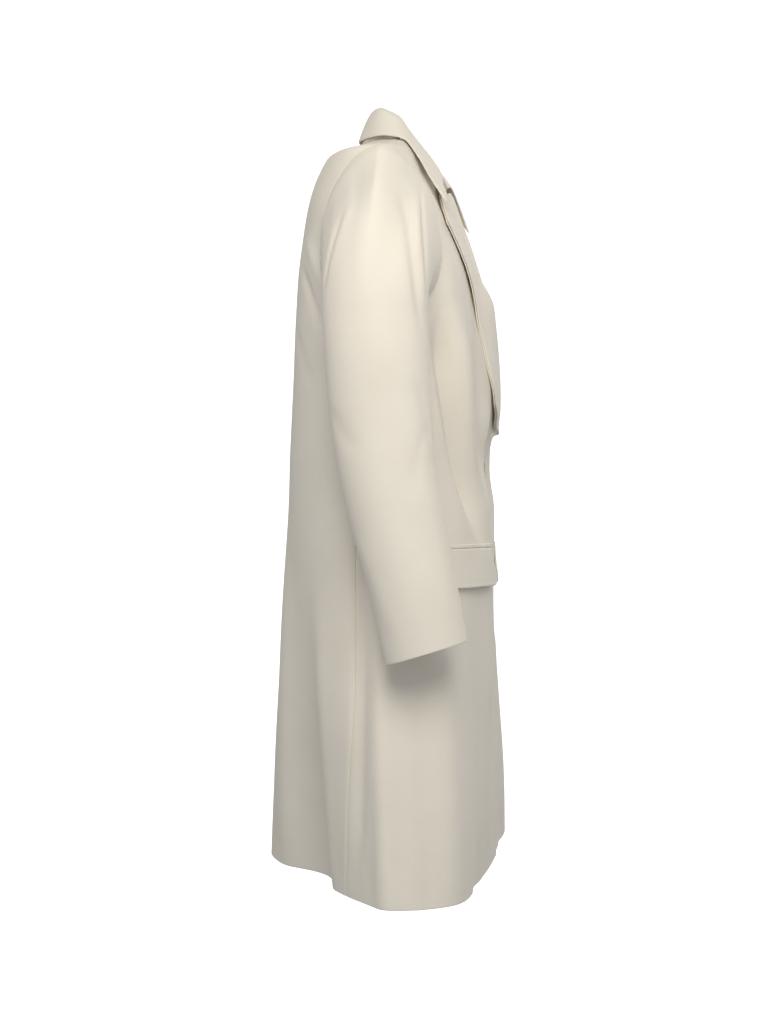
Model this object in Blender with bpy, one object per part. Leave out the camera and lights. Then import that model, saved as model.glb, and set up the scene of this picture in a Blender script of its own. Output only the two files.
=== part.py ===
"""A long ivory wool overcoat, filled out as if worn.

It is single-breasted, with notch lapels that turn back from one button at the waist, a stand and
fall collar, two-piece sleeves and flapped hip pockets. Units are metres, +Z is up, the coat faces -Y
and the wearer's left is +X. The origin lies between the shoulders, level with the sides of the neck.

Every panel is a wall of cloth laid on one of three skins: the right half of the body, its left half,
or a sleeve. A place on the body is (fraction of the half girth from centre back to centre front,
height, lift off the skin).
"""

import math

import bmesh
import bpy
import numpy as np

CLOTH = 0.0018
DOUBLED_CLOTH = 0.0026
SEAM = 0.0003

HEM_Z = -0.960
BREAK_Z = -0.385
GORGE_Z = -0.050
SHOULDER_END_Z = -0.034
BACK_NECK_Z = 0.008
ARMHOLE_BOTTOM_Z = -0.240
SHOULDER_LINE_Y = -0.005

OVERLAP = 0.040
LOWER_FRONT_LIFT = 0.0026
UPPER_FRONT_LIFT = 0.0155
ROLL_RADIUS = 0.0023
FACING_OFFSET = 0.0023
FACING_INSIDE = 0.022
FACING_INSIDE_DROP = 0.0022

SLEEVE_SEAT = 0.0027
CROWN_SEAT = 0.0012
SLEEVE_HEAD_REACH = 0.034
LEFT_SLEEVE_BACK = 0.022
CUFF_Z = -0.655

FLAP_TOP_Z = -0.5335
FLAP_DEPTH = 0.050
FLAP_WIDTH = 0.152
FLAP_FRONT = -0.060
WELT_DEPTH = 0.0050
WELT_THICKNESS = 0.0022
WELT_PAST_FLAP = 0.004
FLAP_CORNER = 0.010
FLAP_STAND = 0.0005
FLAP_KICK = 0.0028
BUTTON_Z = -0.430
BUTTON_RADIUS = 0.0125
BUTTON_THICKNESS = 0.0038
THREAD_HOLES = 4
THREAD_HOLE_RADIUS = 0.0011
THREAD_HOLE_CIRCLE = 0.0033

# The body's level sections, from the hem to the neck.
SECTION_COLUMNS = ("z", "half_width", "back_y", "front_y", "side_y", "back_square", "front_square")
SECTIONS = (
    (-0.970, 0.281, 0.188, -0.116, -0.030, 1.30, 3.8),
    (-0.860, 0.263, 0.183, -0.119, -0.024, 1.45, 3.5),
    (-0.750, 0.243, 0.176, -0.117, -0.017, 1.65, 3.2),
    (-0.620, 0.219, 0.166, -0.114, -0.010, 1.90, 2.9),
    (-0.530, 0.205, 0.160, -0.115, -0.006, 2.10, 2.8),
    (-0.425, 0.194, 0.152, -0.100, -0.003, 2.30, 3.1),
    (-0.320, 0.193, 0.144, -0.105, 0.000, 2.50, 3.3),
    (-0.235, 0.196, 0.139, -0.101, 0.000, 2.60, 3.5),
    (-0.180, 0.202, 0.135, -0.0935, 0.000, 2.60, 3.4),
    (-0.130, 0.208, 0.129, -0.0785, 0.000, 2.50, 3.2),
    (-0.090, 0.217, 0.122, -0.061, -0.002, 2.40, 2.9),
    (-0.060, 0.220, 0.113, -0.047, -0.004, 2.30, 2.4),
    (-0.045, 0.220, 0.106, -0.038, -0.005, 2.25, 2.3),
    (-0.034, 0.215, 0.101, -0.033, -0.005, 2.20, 2.2),
    (-0.024, 0.174, 0.097, -0.030, -0.005, 2.20, 2.2),
    (-0.014, 0.130, 0.093, -0.028, -0.005, 2.10, 2.1),
    (-0.005, 0.104, 0.090, -0.026, -0.005, 2.05, 2.0),
    (0.004, 0.080, 0.070, -0.023, -0.005, 2.00, 2.0),
    (0.012, 0.068, 0.047, -0.020, -0.005, 2.00, 2.0),
)

# Drape: the middle of a fold, as a fraction of the half girth, at its top and its bottom; its half
# width; and how far it stands out (or sinks in, if negative) at its top and its bottom.
FOLD_COLUMNS = ("top_z", "bottom_z", "top_at", "bottom_at", "half_width", "top_rise", "bottom_rise")
FOLDS = (
    (-0.420, -0.970, 0.250, 0.225, 0.080, 0.000, -0.047),
    (-0.560, -0.970, 0.540, 0.520, 0.040, 0.000, 0.010),
    (-0.560, -0.970, 0.700, 0.690, 0.050, 0.000, 0.006),
    (-0.190, -0.560, 0.640, 0.830, 0.030, -0.006, -0.001),
    (-0.200, -0.520, 0.730, 0.880, 0.030, 0.004, 0.004),
)

ARMHOLE_COLUMNS = ("z", "back_y", "front_y")
ARMHOLE = (
    (-0.240, 0.002, -0.004),
    (-0.236, 0.026, -0.028),
    (-0.226, 0.045, -0.046),
    (-0.205, 0.063, -0.062),
    (-0.170, 0.073, -0.069),
    (-0.130, 0.073, -0.063),
    (-0.090, 0.061, -0.052),
    (-0.060, 0.040, -0.036),
    (-0.045, 0.023, -0.022),
    (-0.034, -0.005, -0.005),
)

SIDE_SEAM_COLUMNS = ("z", "at")
SIDE_SEAM = (
    (-0.970, 0.395),
    (-0.850, 0.415),
    (-0.700, 0.445),
    (-0.530, 0.455),
    (-0.400, 0.480),
    (-0.240, 0.512),
)

# The roll line and the lapel, by height on the roll line: how far the line lies past centre front,
# the cloth turned back there, how far its outer edge drops, and the curl and stand of the fold.
LAPEL_COLUMNS = ("z", "past_centre", "turned", "drop", "curl", "stand")
LAPEL = (
    (-0.385, 0.034, 0.006, 0.000, 0.20, 0.0000),
    (-0.372, 0.032, 0.020, 0.002, 0.75, 0.0000),
    (-0.355, 0.029, 0.040, 0.0045, 1.00, 0.0000),
    (-0.330, 0.023, 0.063, 0.010, 1.00, 0.0000),
    (-0.290, 0.014, 0.069, 0.015, 1.00, 0.0000),
    (-0.240, 0.001, 0.062, 0.019, 1.00, 0.0000),
    (-0.180, -0.016, 0.060, 0.027, 1.00, 0.0005),
    (-0.120, -0.036, 0.066, 0.040, 1.00, 0.0015),
    (-0.080, -0.050, 0.070, 0.052, 1.00, 0.0035),
    (-0.050, -0.059, 0.074, 0.066, 1.00, 0.0060),
)

# The neck seam above the lapel, by height: distance from the centre plane.
NECK_COLUMNS = ("z", "x")
NECK = ((-0.050, 0.059), (-0.036, 0.064), (-0.020, 0.068), (-0.006, 0.072), (0.004, 0.0765))

# The collar's sections from centre back to the gorge: its seam edge, its roll and its outer edge.
COLLAR_COLUMNS = ("seam_x", "seam_y", "seam_z", "roll_x", "roll_y", "roll_z", "edge_x", "edge_y", "edge_z")
COLLAR = (
    (0.000, 0.0530, 0.0100, 0.000, 0.0400, 0.0570, 0.000, 0.0620, 0.0160),
    (0.024, 0.0500, 0.0100, 0.021, 0.0370, 0.0570, 0.029, 0.0590, 0.0135),
    (0.047, 0.0410, 0.0100, 0.038, 0.0280, 0.0560, 0.058, 0.0430, 0.0115),
    (0.063, 0.0230, 0.0100, 0.050, 0.0140, 0.0485, 0.079, 0.0230, 0.0100),
    (0.0715, 0.0020, 0.0100, 0.056, -0.0010, 0.0390, 0.090, 0.0040, 0.0065),
    (0.0735, -0.0130, 0.0065, 0.060, -0.0130, 0.0220, 0.0965, -0.0140, 0.0000),
    (0.0700, -0.0270, -0.0040, 0.062, -0.0270, 0.0030, 0.104, -0.0340, -0.0260),
    (0.0655, -0.0390, -0.0210, 0.061, -0.0420, -0.0160, 0.114, -0.0515, -0.0560),
    (0.0590, -0.0480, -0.0385, 0.059, -0.0545, -0.0345, 0.117, -0.0725, -0.0880),
)

# The sleeve's rings below the armhole: middle, half width, half depth, and rise towards the front.
SLEEVE_COLUMNS = ("z", "x", "y", "half_width", "half_depth", "rise")
SLEEVE = (
    (-0.250, 0.2585, -0.004, 0.0540, 0.0640, 0.00),
    (-0.290, 0.2620, -0.007, 0.0540, 0.0630, 0.02),
    (-0.370, 0.2650, -0.013, 0.0500, 0.0610, 0.06),
    (-0.430, 0.2670, -0.020, 0.0480, 0.0580, 0.10),
    (-0.498, 0.2690, -0.034, 0.0460, 0.0550, 0.16),
    (-0.584, 0.2720, -0.055, 0.0440, 0.0500, 0.24),
    (-0.655, 0.2740, -0.070, 0.0430, 0.0475, 0.31),
)

SKIRT_ROWS = (
    -0.960, -0.915, -0.870, -0.820, -0.770, -0.720, -0.670, -0.620, -0.570, -0.520, -0.480, -0.445, -0.415,
    -0.400, -0.385,
)
ARMHOLE_ROWS = (-0.240, -0.236, -0.226, -0.205, -0.180, -0.155, -0.130, -0.105, -0.080, -0.060, -0.050)
SHOULDER_ROWS = (-0.042, -0.038, -0.034, -0.025, -0.016, -0.008, -0.001, 0.004)
BACK_ROWS = SKIRT_ROWS + (-0.345, -0.300, -0.270) + ARMHOLE_ROWS + SHOULDER_ROWS + (BACK_NECK_Z,)
LAPEL_ROWS = (-0.378, -0.370, -0.360, -0.345, -0.325, -0.300, -0.270)
FRONT_ROWS = SKIRT_ROWS + LAPEL_ROWS + ARMHOLE_ROWS + SHOULDER_ROWS
BACK_COLUMNS = 11
FRONT_COLUMNS = 17
LAPEL_TURN_STEPS = 4
LAPEL_FLAT_STEPS = 6
FRONT_CROWDING = 1.7
TOP_SLEEVE_COLUMNS = 16
CROWN_CROWDING = 1.5
UNDER_SLEEVE_COLUMNS = 7
SLEEVE_ROWS = (0, 0.15, 0.32, 0.5, 0.7, 0.88, 1.0, 1.1, 1.22, 1.36, 1.5, 1.64, 1.78, 1.9, 2.0)
UNDER_SLEEVE_FROM = -0.165
UNDER_SLEEVE_TO = 0.205

WOOL = ("ivory_wool", "#EFE6D3", 0.85)
HORN = ("ivory_button", "#D9CFB8", 0.45)

RIGHT, LEFT = 0, 1
SIDES = {RIGHT: ("right", -1.0), LEFT: ("left", 1.0)}


def linear(hex_colour):
    """The linear RGBA of an sRGB hex colour."""
    channels = [int(hex_colour[i : i + 2], 16) / 255 for i in (1, 3, 5)]
    return [c / 12.92 if c <= 0.04045 else ((c + 0.055) / 1.055) ** 2.4 for c in channels] + [1.0]


def eased(at, knots, values):
    """A smooth curve through the table's values that never overshoots them."""
    knots, values = np.asarray(knots, float), np.asarray(values, float)
    steps = np.diff(knots)
    slopes = np.diff(values) / steps
    bends = np.zeros_like(values)
    bends[0], bends[-1] = slopes[0], slopes[-1]
    agree = slopes[:-1] * slopes[1:] > 0
    before, after = slopes[:-1][agree], slopes[1:][agree]
    bends[1:-1][agree] = 2 * before * after / (before + after)
    at = np.clip(np.asarray(at, float), knots[0], knots[-1])
    cell = np.clip(np.searchsorted(knots, at, side="right") - 1, 0, len(steps) - 1)
    step = steps[cell]
    t = (at - knots[cell]) / step
    start = (1 + 2 * t) * (1 - t) ** 2 * values[cell] + t * (1 - t) ** 2 * step * bends[cell]
    end = t * t * (3 - 2 * t) * values[cell + 1] + t * t * (t - 1) * step * bends[cell + 1]
    return start + end


def read(rows, columns, name, at):
    """One named column of a table, at a height given in its first column."""
    return eased(at, [row[0] for row in rows], [row[columns.index(name)] for row in rows])


def smooth_step(x):
    x = np.clip(x, 0.0, 1.0)
    return x * x * (3 - 2 * x)


class Skin:
    """A grid of points and outward normals, read between its points."""

    def __init__(self, heights, points, normals):
        self.heights = np.asarray(heights)
        self.points = points
        self.normals = normals
        self.across = points.shape[1] - 1

    def read(self, grid, at, height):
        row = np.interp(height, self.heights, np.arange(len(self.heights)))
        column = np.clip(at, 0.0, 1.0) * self.across
        i = np.minimum(row.astype(int), len(self.heights) - 2)
        j = np.minimum(column.astype(int), self.across - 1)
        s, t = (row - i)[..., None], (column - j)[..., None]
        low = grid[i, j] * (1 - t) + grid[i, j + 1] * t
        high = grid[i + 1, j] * (1 - t) + grid[i + 1, j + 1] * t
        return low * (1 - s) + high * s

    def place(self, at, height, lift):
        normal = self.read(self.normals, at, height)
        normal /= np.linalg.norm(normal, axis=-1, keepdims=True)
        return self.read(self.points, at, height) + normal * lift[..., None]


def normals_of(points, outward):
    """Unit normals of a grid, all on the side that the given outward vectors point to."""
    along, across = np.gradient(points, axis=(0, 1))
    normals = np.cross(along, across)
    normals /= np.linalg.norm(normals, axis=-1, keepdims=True)
    return normals * np.sign(np.sum(normals * outward))


def level_section(z):
    """The right half of the level section at one height, from centre back to centre front."""
    width, back, front, side, back_square, front_square = (
        read(SECTIONS, SECTION_COLUMNS, name, z) for name in SECTION_COLUMNS[1:]
    )
    angle = np.linspace(0, math.pi, 721)
    sine, cosine = np.sin(angle), np.cos(angle)
    square = np.where(cosine > 0, back_square, front_square)
    reach = np.where(cosine > 0, back - side, front - side)
    outline = np.stack([-width * sine ** (2 / square), side + reach * np.abs(cosine) ** (2 / square)], -1)
    return even_spaced(drape(even_spaced(outline), z))


def even_spaced(outline, count=241):
    length = np.r_[0, np.cumsum(np.linalg.norm(np.diff(outline, axis=0), axis=1))]
    at = np.linspace(0, length[-1], count)
    return np.stack([np.interp(at, length, outline[:, k]) for k in (0, 1)], -1)


def drape(outline, z):
    """The section with its folds raised and sunk along its own normals."""
    at = np.linspace(0, 1, len(outline))
    girth = np.linalg.norm(np.diff(outline, axis=0), axis=1).sum()
    rise = np.zeros(len(outline))
    for top_z, bottom_z, top_at, bottom_at, half_width, top_rise, bottom_rise in FOLDS:
        down = (top_z - z) / (top_z - bottom_z)
        if not -0.25 < down < 1.25:
            continue
        fade = smooth_step((down + 0.25) / 0.25) * smooth_step((1.25 - down) / 0.25)
        down = min(max(down, 0.0), 1.0)
        middle = top_at + (bottom_at - top_at) * down
        height = top_rise + (bottom_rise - top_rise) * down
        rise += height * fade * np.exp(-(((at - middle) * girth / half_width) ** 2))
    rise *= np.sin(math.pi * at) ** 0.5
    along = np.gradient(outline, axis=0)
    along /= np.linalg.norm(along, axis=1, keepdims=True)
    return outline + np.stack([along[:, 1], -along[:, 0]], -1) * rise[:, None]


def body_skins():
    heights = np.r_[np.arange(HEM_Z - 0.010, -0.0501, 0.005), np.arange(-0.050, 0.0121, 0.0005)]
    right = np.stack([np.c_[level_section(z), np.full(241, z)] for z in heights])
    outward = np.zeros_like(right)
    outward[..., 0] = right[..., 0]
    outward[..., 1] = right[..., 1] - read(SECTIONS, SECTION_COLUMNS, "side_y", heights)[:, None]
    normals = normals_of(right, outward)
    normals[:, (0, -1), 0] = 0
    mirror = np.array([-1.0, 1.0, 1.0])
    return Skin(heights, right, normals), Skin(heights, right * mirror, normals * mirror)


BODY = body_skins()


def on_body(side, at, z, lift):
    """A place on the body; past centre front (at over 1) it goes on round the other side."""
    at, z, lift = np.broadcast_arrays(*(np.asarray(v, float) for v in (at, z, lift)))
    own = BODY[side].place(np.clip(at, 0, 1), z, lift)
    other = BODY[1 - side].place(np.clip(2 - at, 0, 1), z, lift)
    return np.where((at > 1)[..., None], other, own)


def half_girth(z):
    rings = BODY[RIGHT].points
    lengths = np.linalg.norm(np.diff(rings, axis=1), axis=2).sum(axis=1)
    return np.interp(z, BODY[RIGHT].heights, lengths)


def at_past_centre(past, z):
    """The fraction of the half girth that lies a distance past centre front."""
    return 1 + past / half_girth(z)


def at_depth(y, z):
    """The fraction of the half girth where the section at this height has this depth."""
    y, z = np.broadcast_arrays(np.asarray(y, float), np.asarray(z, float))
    fractions = np.linspace(0, 1, 241)
    found = np.empty(y.shape)
    for index in np.ndindex(y.shape):
        ring = BODY[RIGHT].read(BODY[RIGHT].points, fractions, np.full(241, z[index]))
        found[index] = np.interp(-y[index], np.maximum.accumulate(-ring[:, 1]), fractions)
    return found


def neck_edge(z):
    """The fraction of the half girth at the neck seam, above the lapel."""
    width = read(SECTIONS, SECTION_COLUMNS, "half_width", z)
    x = np.minimum(read(NECK, NECK_COLUMNS, "x", z), width * 0.985)
    fractions = np.linspace(0.5, 1, 200)
    ring = BODY[RIGHT].read(BODY[RIGHT].points, fractions, np.full(200, z))
    order = slice(int(np.argmax(-ring[:, 0])), None)
    return np.interp(-x, ring[order, 0], fractions[order])


def outer_edge(z, column):
    """The fraction of the half girth where a panel ends: side seam, armhole or shoulder seam."""
    if z < ARMHOLE_BOTTOM_Z:
        return float(read(SIDE_SEAM, SIDE_SEAM_COLUMNS, "at", z))
    if z < SHOULDER_END_Z:
        return float(at_depth(read(ARMHOLE, ARMHOLE_COLUMNS, column, z), z))
    return float(at_depth(SHOULDER_LINE_Y, z))


def wall(name, outer, inner, faces, material):
    """One closed wall of cloth from matching outer and inner points and the faces that join them."""
    mesh = bmesh.new()
    outside = [mesh.verts.new(p) for p in outer]
    inside = [mesh.verts.new(p) for p in inner]
    edges = {}
    for face in faces:
        mesh.faces.new([outside[i] for i in face])
        mesh.faces.new([inside[i] for i in reversed(face)])
        for a, b in zip(face, face[1:] + face[:1]):
            if edges.pop((b, a), None) is None:
                edges[(a, b)] = True
    for a, b in edges:
        mesh.faces.new([outside[b], outside[a], inside[a], inside[b]])
    bmesh.ops.recalc_face_normals(mesh, faces=mesh.faces)
    data = bpy.data.meshes.new(name)
    mesh.to_mesh(data)
    mesh.free()
    data.shade_smooth()
    data.set_sharp_from_angle(angle=math.radians(50))
    return add_object(name, data, material)


def add_object(name, data, material):
    obj = bpy.data.objects.new(name, data)
    obj.data.materials.append(own_material(name, material))
    bpy.data.collections["overcoat"].objects.link(obj)
    return obj


def own_material(name, material):
    """This piece's own Principled material, in the colour of its cloth or button."""
    _, colour, roughness = material
    made = bpy.data.materials.new(name + "_" + material[0])
    made.use_nodes = True
    shader = made.node_tree.nodes["Principled BSDF"]
    shader.inputs["Base Color"].default_value = linear(colour)
    shader.inputs["Roughness"].default_value = roughness
    shader.inputs["Metallic"].default_value = 0.0
    return made


def grid_faces(rows, columns, start=0):
    """The triangles of a grid whose points are numbered row by row, all cut along the same diagonal
    so that layers that lie on each other stay apart."""
    faces = []
    for corner in (start + r * columns + c for r in range(rows - 1) for c in range(columns - 1)):
        faces.append((corner, corner + 1, corner + columns + 1))
        faces.append((corner, corner + columns + 1, corner + columns))
    return faces


def grid_wall(name, outer, inner, material):
    rows, columns = outer.shape[:2]
    return wall(name, outer.reshape(-1, 3), inner.reshape(-1, 3), grid_faces(rows, columns), material)


def make_back(side):
    at, z = [], []
    for height in BACK_ROWS:
        seam = SEAM / 2 / half_girth(height)
        at.append(np.linspace(seam, outer_edge(height, "back_y") - seam, BACK_COLUMNS))
        z.append(np.full(BACK_COLUMNS, height))
    at, z = np.array(at), np.array(z)
    outer, inner = (on_body(side, at, z, lift) for lift in (CLOTH / 2, -CLOTH / 2))
    grid_wall(f"back_{SIDES[side][0]}", outer, inner, WOOL)


def front_lift(side, past, z):
    """How far the right front rides out over the left one and its lapel."""
    roll = read(LAPEL, LAPEL_COLUMNS, "past_centre", z)
    stand = read(LAPEL, LAPEL_COLUMNS, "stand", z) * np.where(z > BREAK_Z, 1, 0)
    stand = stand * smooth_step(1 + (past - roll) / 0.030) * smooth_step((0.010 - z) / 0.030)
    if side == LEFT:
        return stand
    upper = smooth_step((z + 0.412) / 0.036) * (1 - smooth_step((z + 0.215) / 0.060))
    height = LOWER_FRONT_LIFT + (UPPER_FRONT_LIFT - LOWER_FRONT_LIFT) * upper
    height = height * (1 - smooth_step((z + 0.190) / 0.050))
    return stand + height * smooth_step((past + roll + 0.072) / 0.060)


def lapel_section(s, radius, curl, offset):
    """Across the roll: how far past the roll line, and how high, cloth lies that was turned back
    there. It curls round the radius until it lies back, and the offset is to its own outer side."""
    radius = radius / curl
    turned = np.clip(s / radius, 0, math.pi * np.minimum(1, curl * 2))
    beyond = np.maximum(s - turned * radius, 0)
    before = np.minimum(s, 0)
    past = (radius - offset) * np.sin(turned) + before + beyond * np.cos(turned)
    high = radius - (radius - offset) * np.cos(turned) + beyond * np.sin(turned)
    return past, high


def lapel_row(side, z, offset, inside=()):
    """One row of the lapel: its points from the roll line to the outer edge."""
    roll, width, drop, curl, stand = (
        float(read(LAPEL, LAPEL_COLUMNS, name, z)) for name in LAPEL_COLUMNS[1:]
    )
    radius = ROLL_RADIUS + stand * 0.25
    turn = min(math.pi * radius / curl, width * 0.7)
    s = np.r_[
        inside,
        np.linspace(0, turn, LAPEL_TURN_STEPS + 1),
        np.linspace(turn, width, LAPEL_FLAT_STEPS + 1)[1:],
    ]
    past, high = lapel_section(s, radius, curl, offset)
    high = high - FACING_INSIDE_DROP * smooth_step(-s / 0.006)
    back = np.clip((s - turn) / max(width - turn, 1e-6), 0, 1)
    settled = 2 * ROLL_RADIUS - offset
    high = np.where(s > turn, high + (settled - high) * smooth_step(back * 1.5) * (curl > 0.99), high)
    low = z - drop * back
    lift = high + front_lift(side, np.minimum(roll + past, roll), np.full(len(s), z))
    return on_body(side, at_past_centre(roll + past, low), low, lift)


def make_front(side):
    rows = list(FRONT_ROWS)
    first, last = rows.index(BREAK_Z), rows.index(GORGE_Z)
    faces_outer, faces_inner = [], []
    for z in rows:
        seam = SEAM / 2 / half_girth(z)
        start = outer_edge(z, "front_y") + seam
        if z < BREAK_Z:
            end = at_past_centre(OVERLAP, z)
        elif z <= GORGE_Z:
            end = at_past_centre(float(read(LAPEL, LAPEL_COLUMNS, "past_centre", z)), z)
        else:
            end = neck_edge(z)
        end = max(end, start + 0.006 / half_girth(z))
        at = end - (end - start) * np.linspace(1, 0, FRONT_COLUMNS) ** FRONT_CROWDING
        past = (at - 1) * half_girth(z)
        lift = front_lift(side, past, np.full(FRONT_COLUMNS, z))
        faces_outer.append(on_body(side, at, z, lift + CLOTH / 2))
        faces_inner.append(on_body(side, at, z, lift - CLOTH / 2))
    outer, inner = np.concatenate(faces_outer), np.concatenate(faces_inner)
    faces = grid_faces(len(rows), FRONT_COLUMNS)
    fold_columns = LAPEL_TURN_STEPS + LAPEL_FLAT_STEPS
    fold_start = len(outer)
    fold_rows = rows[first : last + 1]
    folds = [
        np.concatenate([lapel_row(side, z, offset)[1:] for z in fold_rows])
        for offset in (CLOTH / 2, -CLOTH / 2)
    ]
    outer, inner = np.concatenate([outer, folds[0]]), np.concatenate([inner, folds[1]])
    faces += grid_faces(len(fold_rows), fold_columns, fold_start)
    edge = [row * FRONT_COLUMNS + FRONT_COLUMNS - 1 for row in range(len(rows))]
    for r in range(len(fold_rows) - 1):
        near = fold_start + r * fold_columns
        faces.append((edge[first + r], near, near + fold_columns))
        faces.append((edge[first + r], near + fold_columns, edge[first + r + 1]))
    chain = [edge[first]] + [fold_start + c for c in range(fold_columns)]
    below = edge[first - 1]
    faces += [(below, b, a) for a, b in zip(chain, chain[1:])]
    wall(f"front_{SIDES[side][0]}", outer, inner, faces, WOOL)


def make_facing(side):
    rows = [z for z in FRONT_ROWS if BREAK_Z <= z <= GORGE_Z]
    inside = (-FACING_INSIDE, -FACING_INSIDE / 2, -0.004)
    outer, inner = (
        np.stack([lapel_row(side, z, offset - FACING_OFFSET, inside) for z in rows])
        for offset in (CLOTH / 2, -CLOTH / 2)
    )
    grid_wall(f"facing_{SIDES[side][0]}", outer, inner, WOOL)


def bend(start, start_pull, end_pull, end, steps):
    """Points of a cubic curve from start to end, drawn towards its two pulls."""
    t = np.linspace(0, 1, steps + 1)[:, None]
    near = (1 - t) ** 3 * start + 3 * t * (1 - t) ** 2 * start_pull
    return near + 3 * t * t * (1 - t) * end_pull + t**3 * end


def collar_section(row, side_sign):
    """Across the collar: up the stand from the neck seam, over the roll and down the fall."""
    seam, roll, edge = (np.array(row[k : k + 3]) for k in (0, 3, 6))
    out = edge - roll
    out[2] = 0
    out /= np.linalg.norm(out)
    up = np.array([0, 0, 1.0])
    height = roll[2] - seam[2]
    stand = bend(seam, seam + up * height * 0.5, roll - out * 0.006, roll, 5)
    fall = bend(roll, roll + out * 0.008, edge + (roll - edge) * 0.45 + out * 0.004, edge, 6)
    return np.concatenate([stand, fall[1:]]) * np.array([side_sign, 1, 1])


def make_collar():
    right = [collar_section(row, -1) for row in COLLAR[::-1]]
    left = [collar_section(row, 1) for row in COLLAR[1:]]
    middle = np.stack(right + left)
    normals = normals_of(middle, np.cross(np.gradient(middle, axis=0), np.gradient(middle, axis=1)))
    grid_wall("collar", middle + normals * DOUBLED_CLOTH / 2, middle - normals * DOUBLED_CLOTH / 2, WOOL)


def armhole(side, around):
    """Points and leaving directions round the armhole; around runs from the bottom up the back."""
    up = (1 - np.cos(np.linspace(0, math.pi, 81))) / 2
    heights = ARMHOLE_BOTTOM_Z + (SHOULDER_END_Z - ARMHOLE_BOTTOM_Z) * up
    back = at_depth(read(ARMHOLE, ARMHOLE_COLUMNS, "back_y", heights), heights)
    front = at_depth(read(ARMHOLE, ARMHOLE_COLUMNS, "front_y", heights), heights)
    places = np.r_[back, front[::-1][1:]]
    levels = np.r_[heights, heights[::-1][1:]]
    base = on_body(side, places, levels, 0)
    normal = (on_body(side, places, levels, SLEEVE_SEAT) - base) / SLEEVE_SEAT
    crown = smooth_step((levels + 0.060) / 0.026)[:, None]
    seat = base + normal * (SLEEVE_SEAT + CROWN_SEAT * crown)
    length = np.r_[0, np.cumsum(np.linalg.norm(np.diff(seat, axis=0), axis=1))]
    top = len(heights) - 1
    fraction = np.interp(length, [0, length[top], length[-1]], [0, 0.5, 1])
    along = np.gradient(seat, axis=0)
    along /= np.linalg.norm(along, axis=1, keepdims=True)
    inward = np.cross(along, normal)
    centre = seat.mean(axis=0)
    inward *= np.sign(np.sum(inward * (centre - seat), axis=1, keepdims=True))
    read_at = lambda values: np.stack([np.interp(around, fraction, values[:, k]) for k in range(3)], -1)
    return read_at(seat), read_at(normal), read_at(inward)


def sleeve_ring(side, around, z):
    x, y, half_width, half_depth, rise = (
        read(SLEEVE[::-1], SLEEVE_COLUMNS, name, z) for name in SLEEVE_COLUMNS[1:]
    )
    sign = SIDES[side][1]
    if side == LEFT:
        y = y + LEFT_SLEEVE_BACK * smooth_step((SLEEVE[0][0] - z) / (SLEEVE[0][0] - CUFF_Z))
    angle = 2 * math.pi * around
    depth = half_depth * np.sin(angle)
    across = x - half_width * np.cos(angle)
    return np.stack([sign * across, y + depth, z - rise * depth], -1)


def sleeve_skin(side):
    """The sleeve from the armhole (height 0) to the upper arm (1) and the cuff (2)."""
    around = np.linspace(0, 1, 121)
    seat, normal, inward = armhole(side, around)
    arm_z = SLEEVE[0][0]
    arm = sleeve_ring(side, around, arm_z)
    crown = ((1 - np.cos(2 * math.pi * around)) / 2)[:, None]
    leave = normal * (0.55 - 0.25 * crown) + inward * (1.1 * crown - 0.05)
    leave /= np.linalg.norm(leave, axis=1, keepdims=True)
    span = np.linalg.norm(arm - seat, axis=1, keepdims=True)
    up = np.array([0, 0, 1.0])
    first_pull = seat + leave * (span * 0.10 + SLEEVE_HEAD_REACH * crown)
    second_pull = arm + up * span * 0.45
    steps = np.linspace(0, 1, 25)
    cap = [
        (1 - t) ** 3 * seat + 3 * t * (1 - t) ** 2 * first_pull + 3 * t * t * (1 - t) * second_pull + t**3 * arm
        for t in steps
    ]
    levels = arm_z + (CUFF_Z - arm_z) * np.linspace(0, 1, 41)[1:]
    tube = [sleeve_ring(side, around, z) for z in levels]
    points = np.stack(cap + tube)
    heights = np.r_[steps, np.linspace(1, 2, 41)[1:]]
    middle = points[:, :-1].mean(axis=1)
    outward = points - middle[:, None]
    ringed = np.concatenate([points[:, -2:-1], points, points[:, 1:2]], axis=1)
    padded = np.concatenate([outward[:, -2:-1], outward, outward[:, 1:2]], axis=1)
    return Skin(heights, points, normals_of(ringed, padded)[:, 1:-1])


def make_sleeve(side):
    skin = sleeve_skin(side)
    seam = SEAM / 2 / 0.35
    under = (UNDER_SLEEVE_FROM + seam, UNDER_SLEEVE_TO - seam, UNDER_SLEEVE_COLUMNS, "under")
    top = (UNDER_SLEEVE_TO + seam, 1 + UNDER_SLEEVE_FROM - seam, TOP_SLEEVE_COLUMNS, "top")
    for start, end, columns, part in (under, top):
        spread = np.linspace(-1, 1, columns)
        if part == "top":
            spread = np.sign(spread) * np.abs(spread) ** CROWN_CROWDING
        around, height = np.meshgrid((start + end + (end - start) * spread) / 2, SLEEVE_ROWS)
        around = around % 1.0
        lifts = (np.full(around.shape, lift) for lift in (CLOTH / 2, -CLOTH / 2))
        outer, inner = (skin.place(around, height, lift) for lift in lifts)
        grid_wall(f"sleeve_{part}_{SIDES[side][0]}", outer, inner, WOOL)


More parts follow.
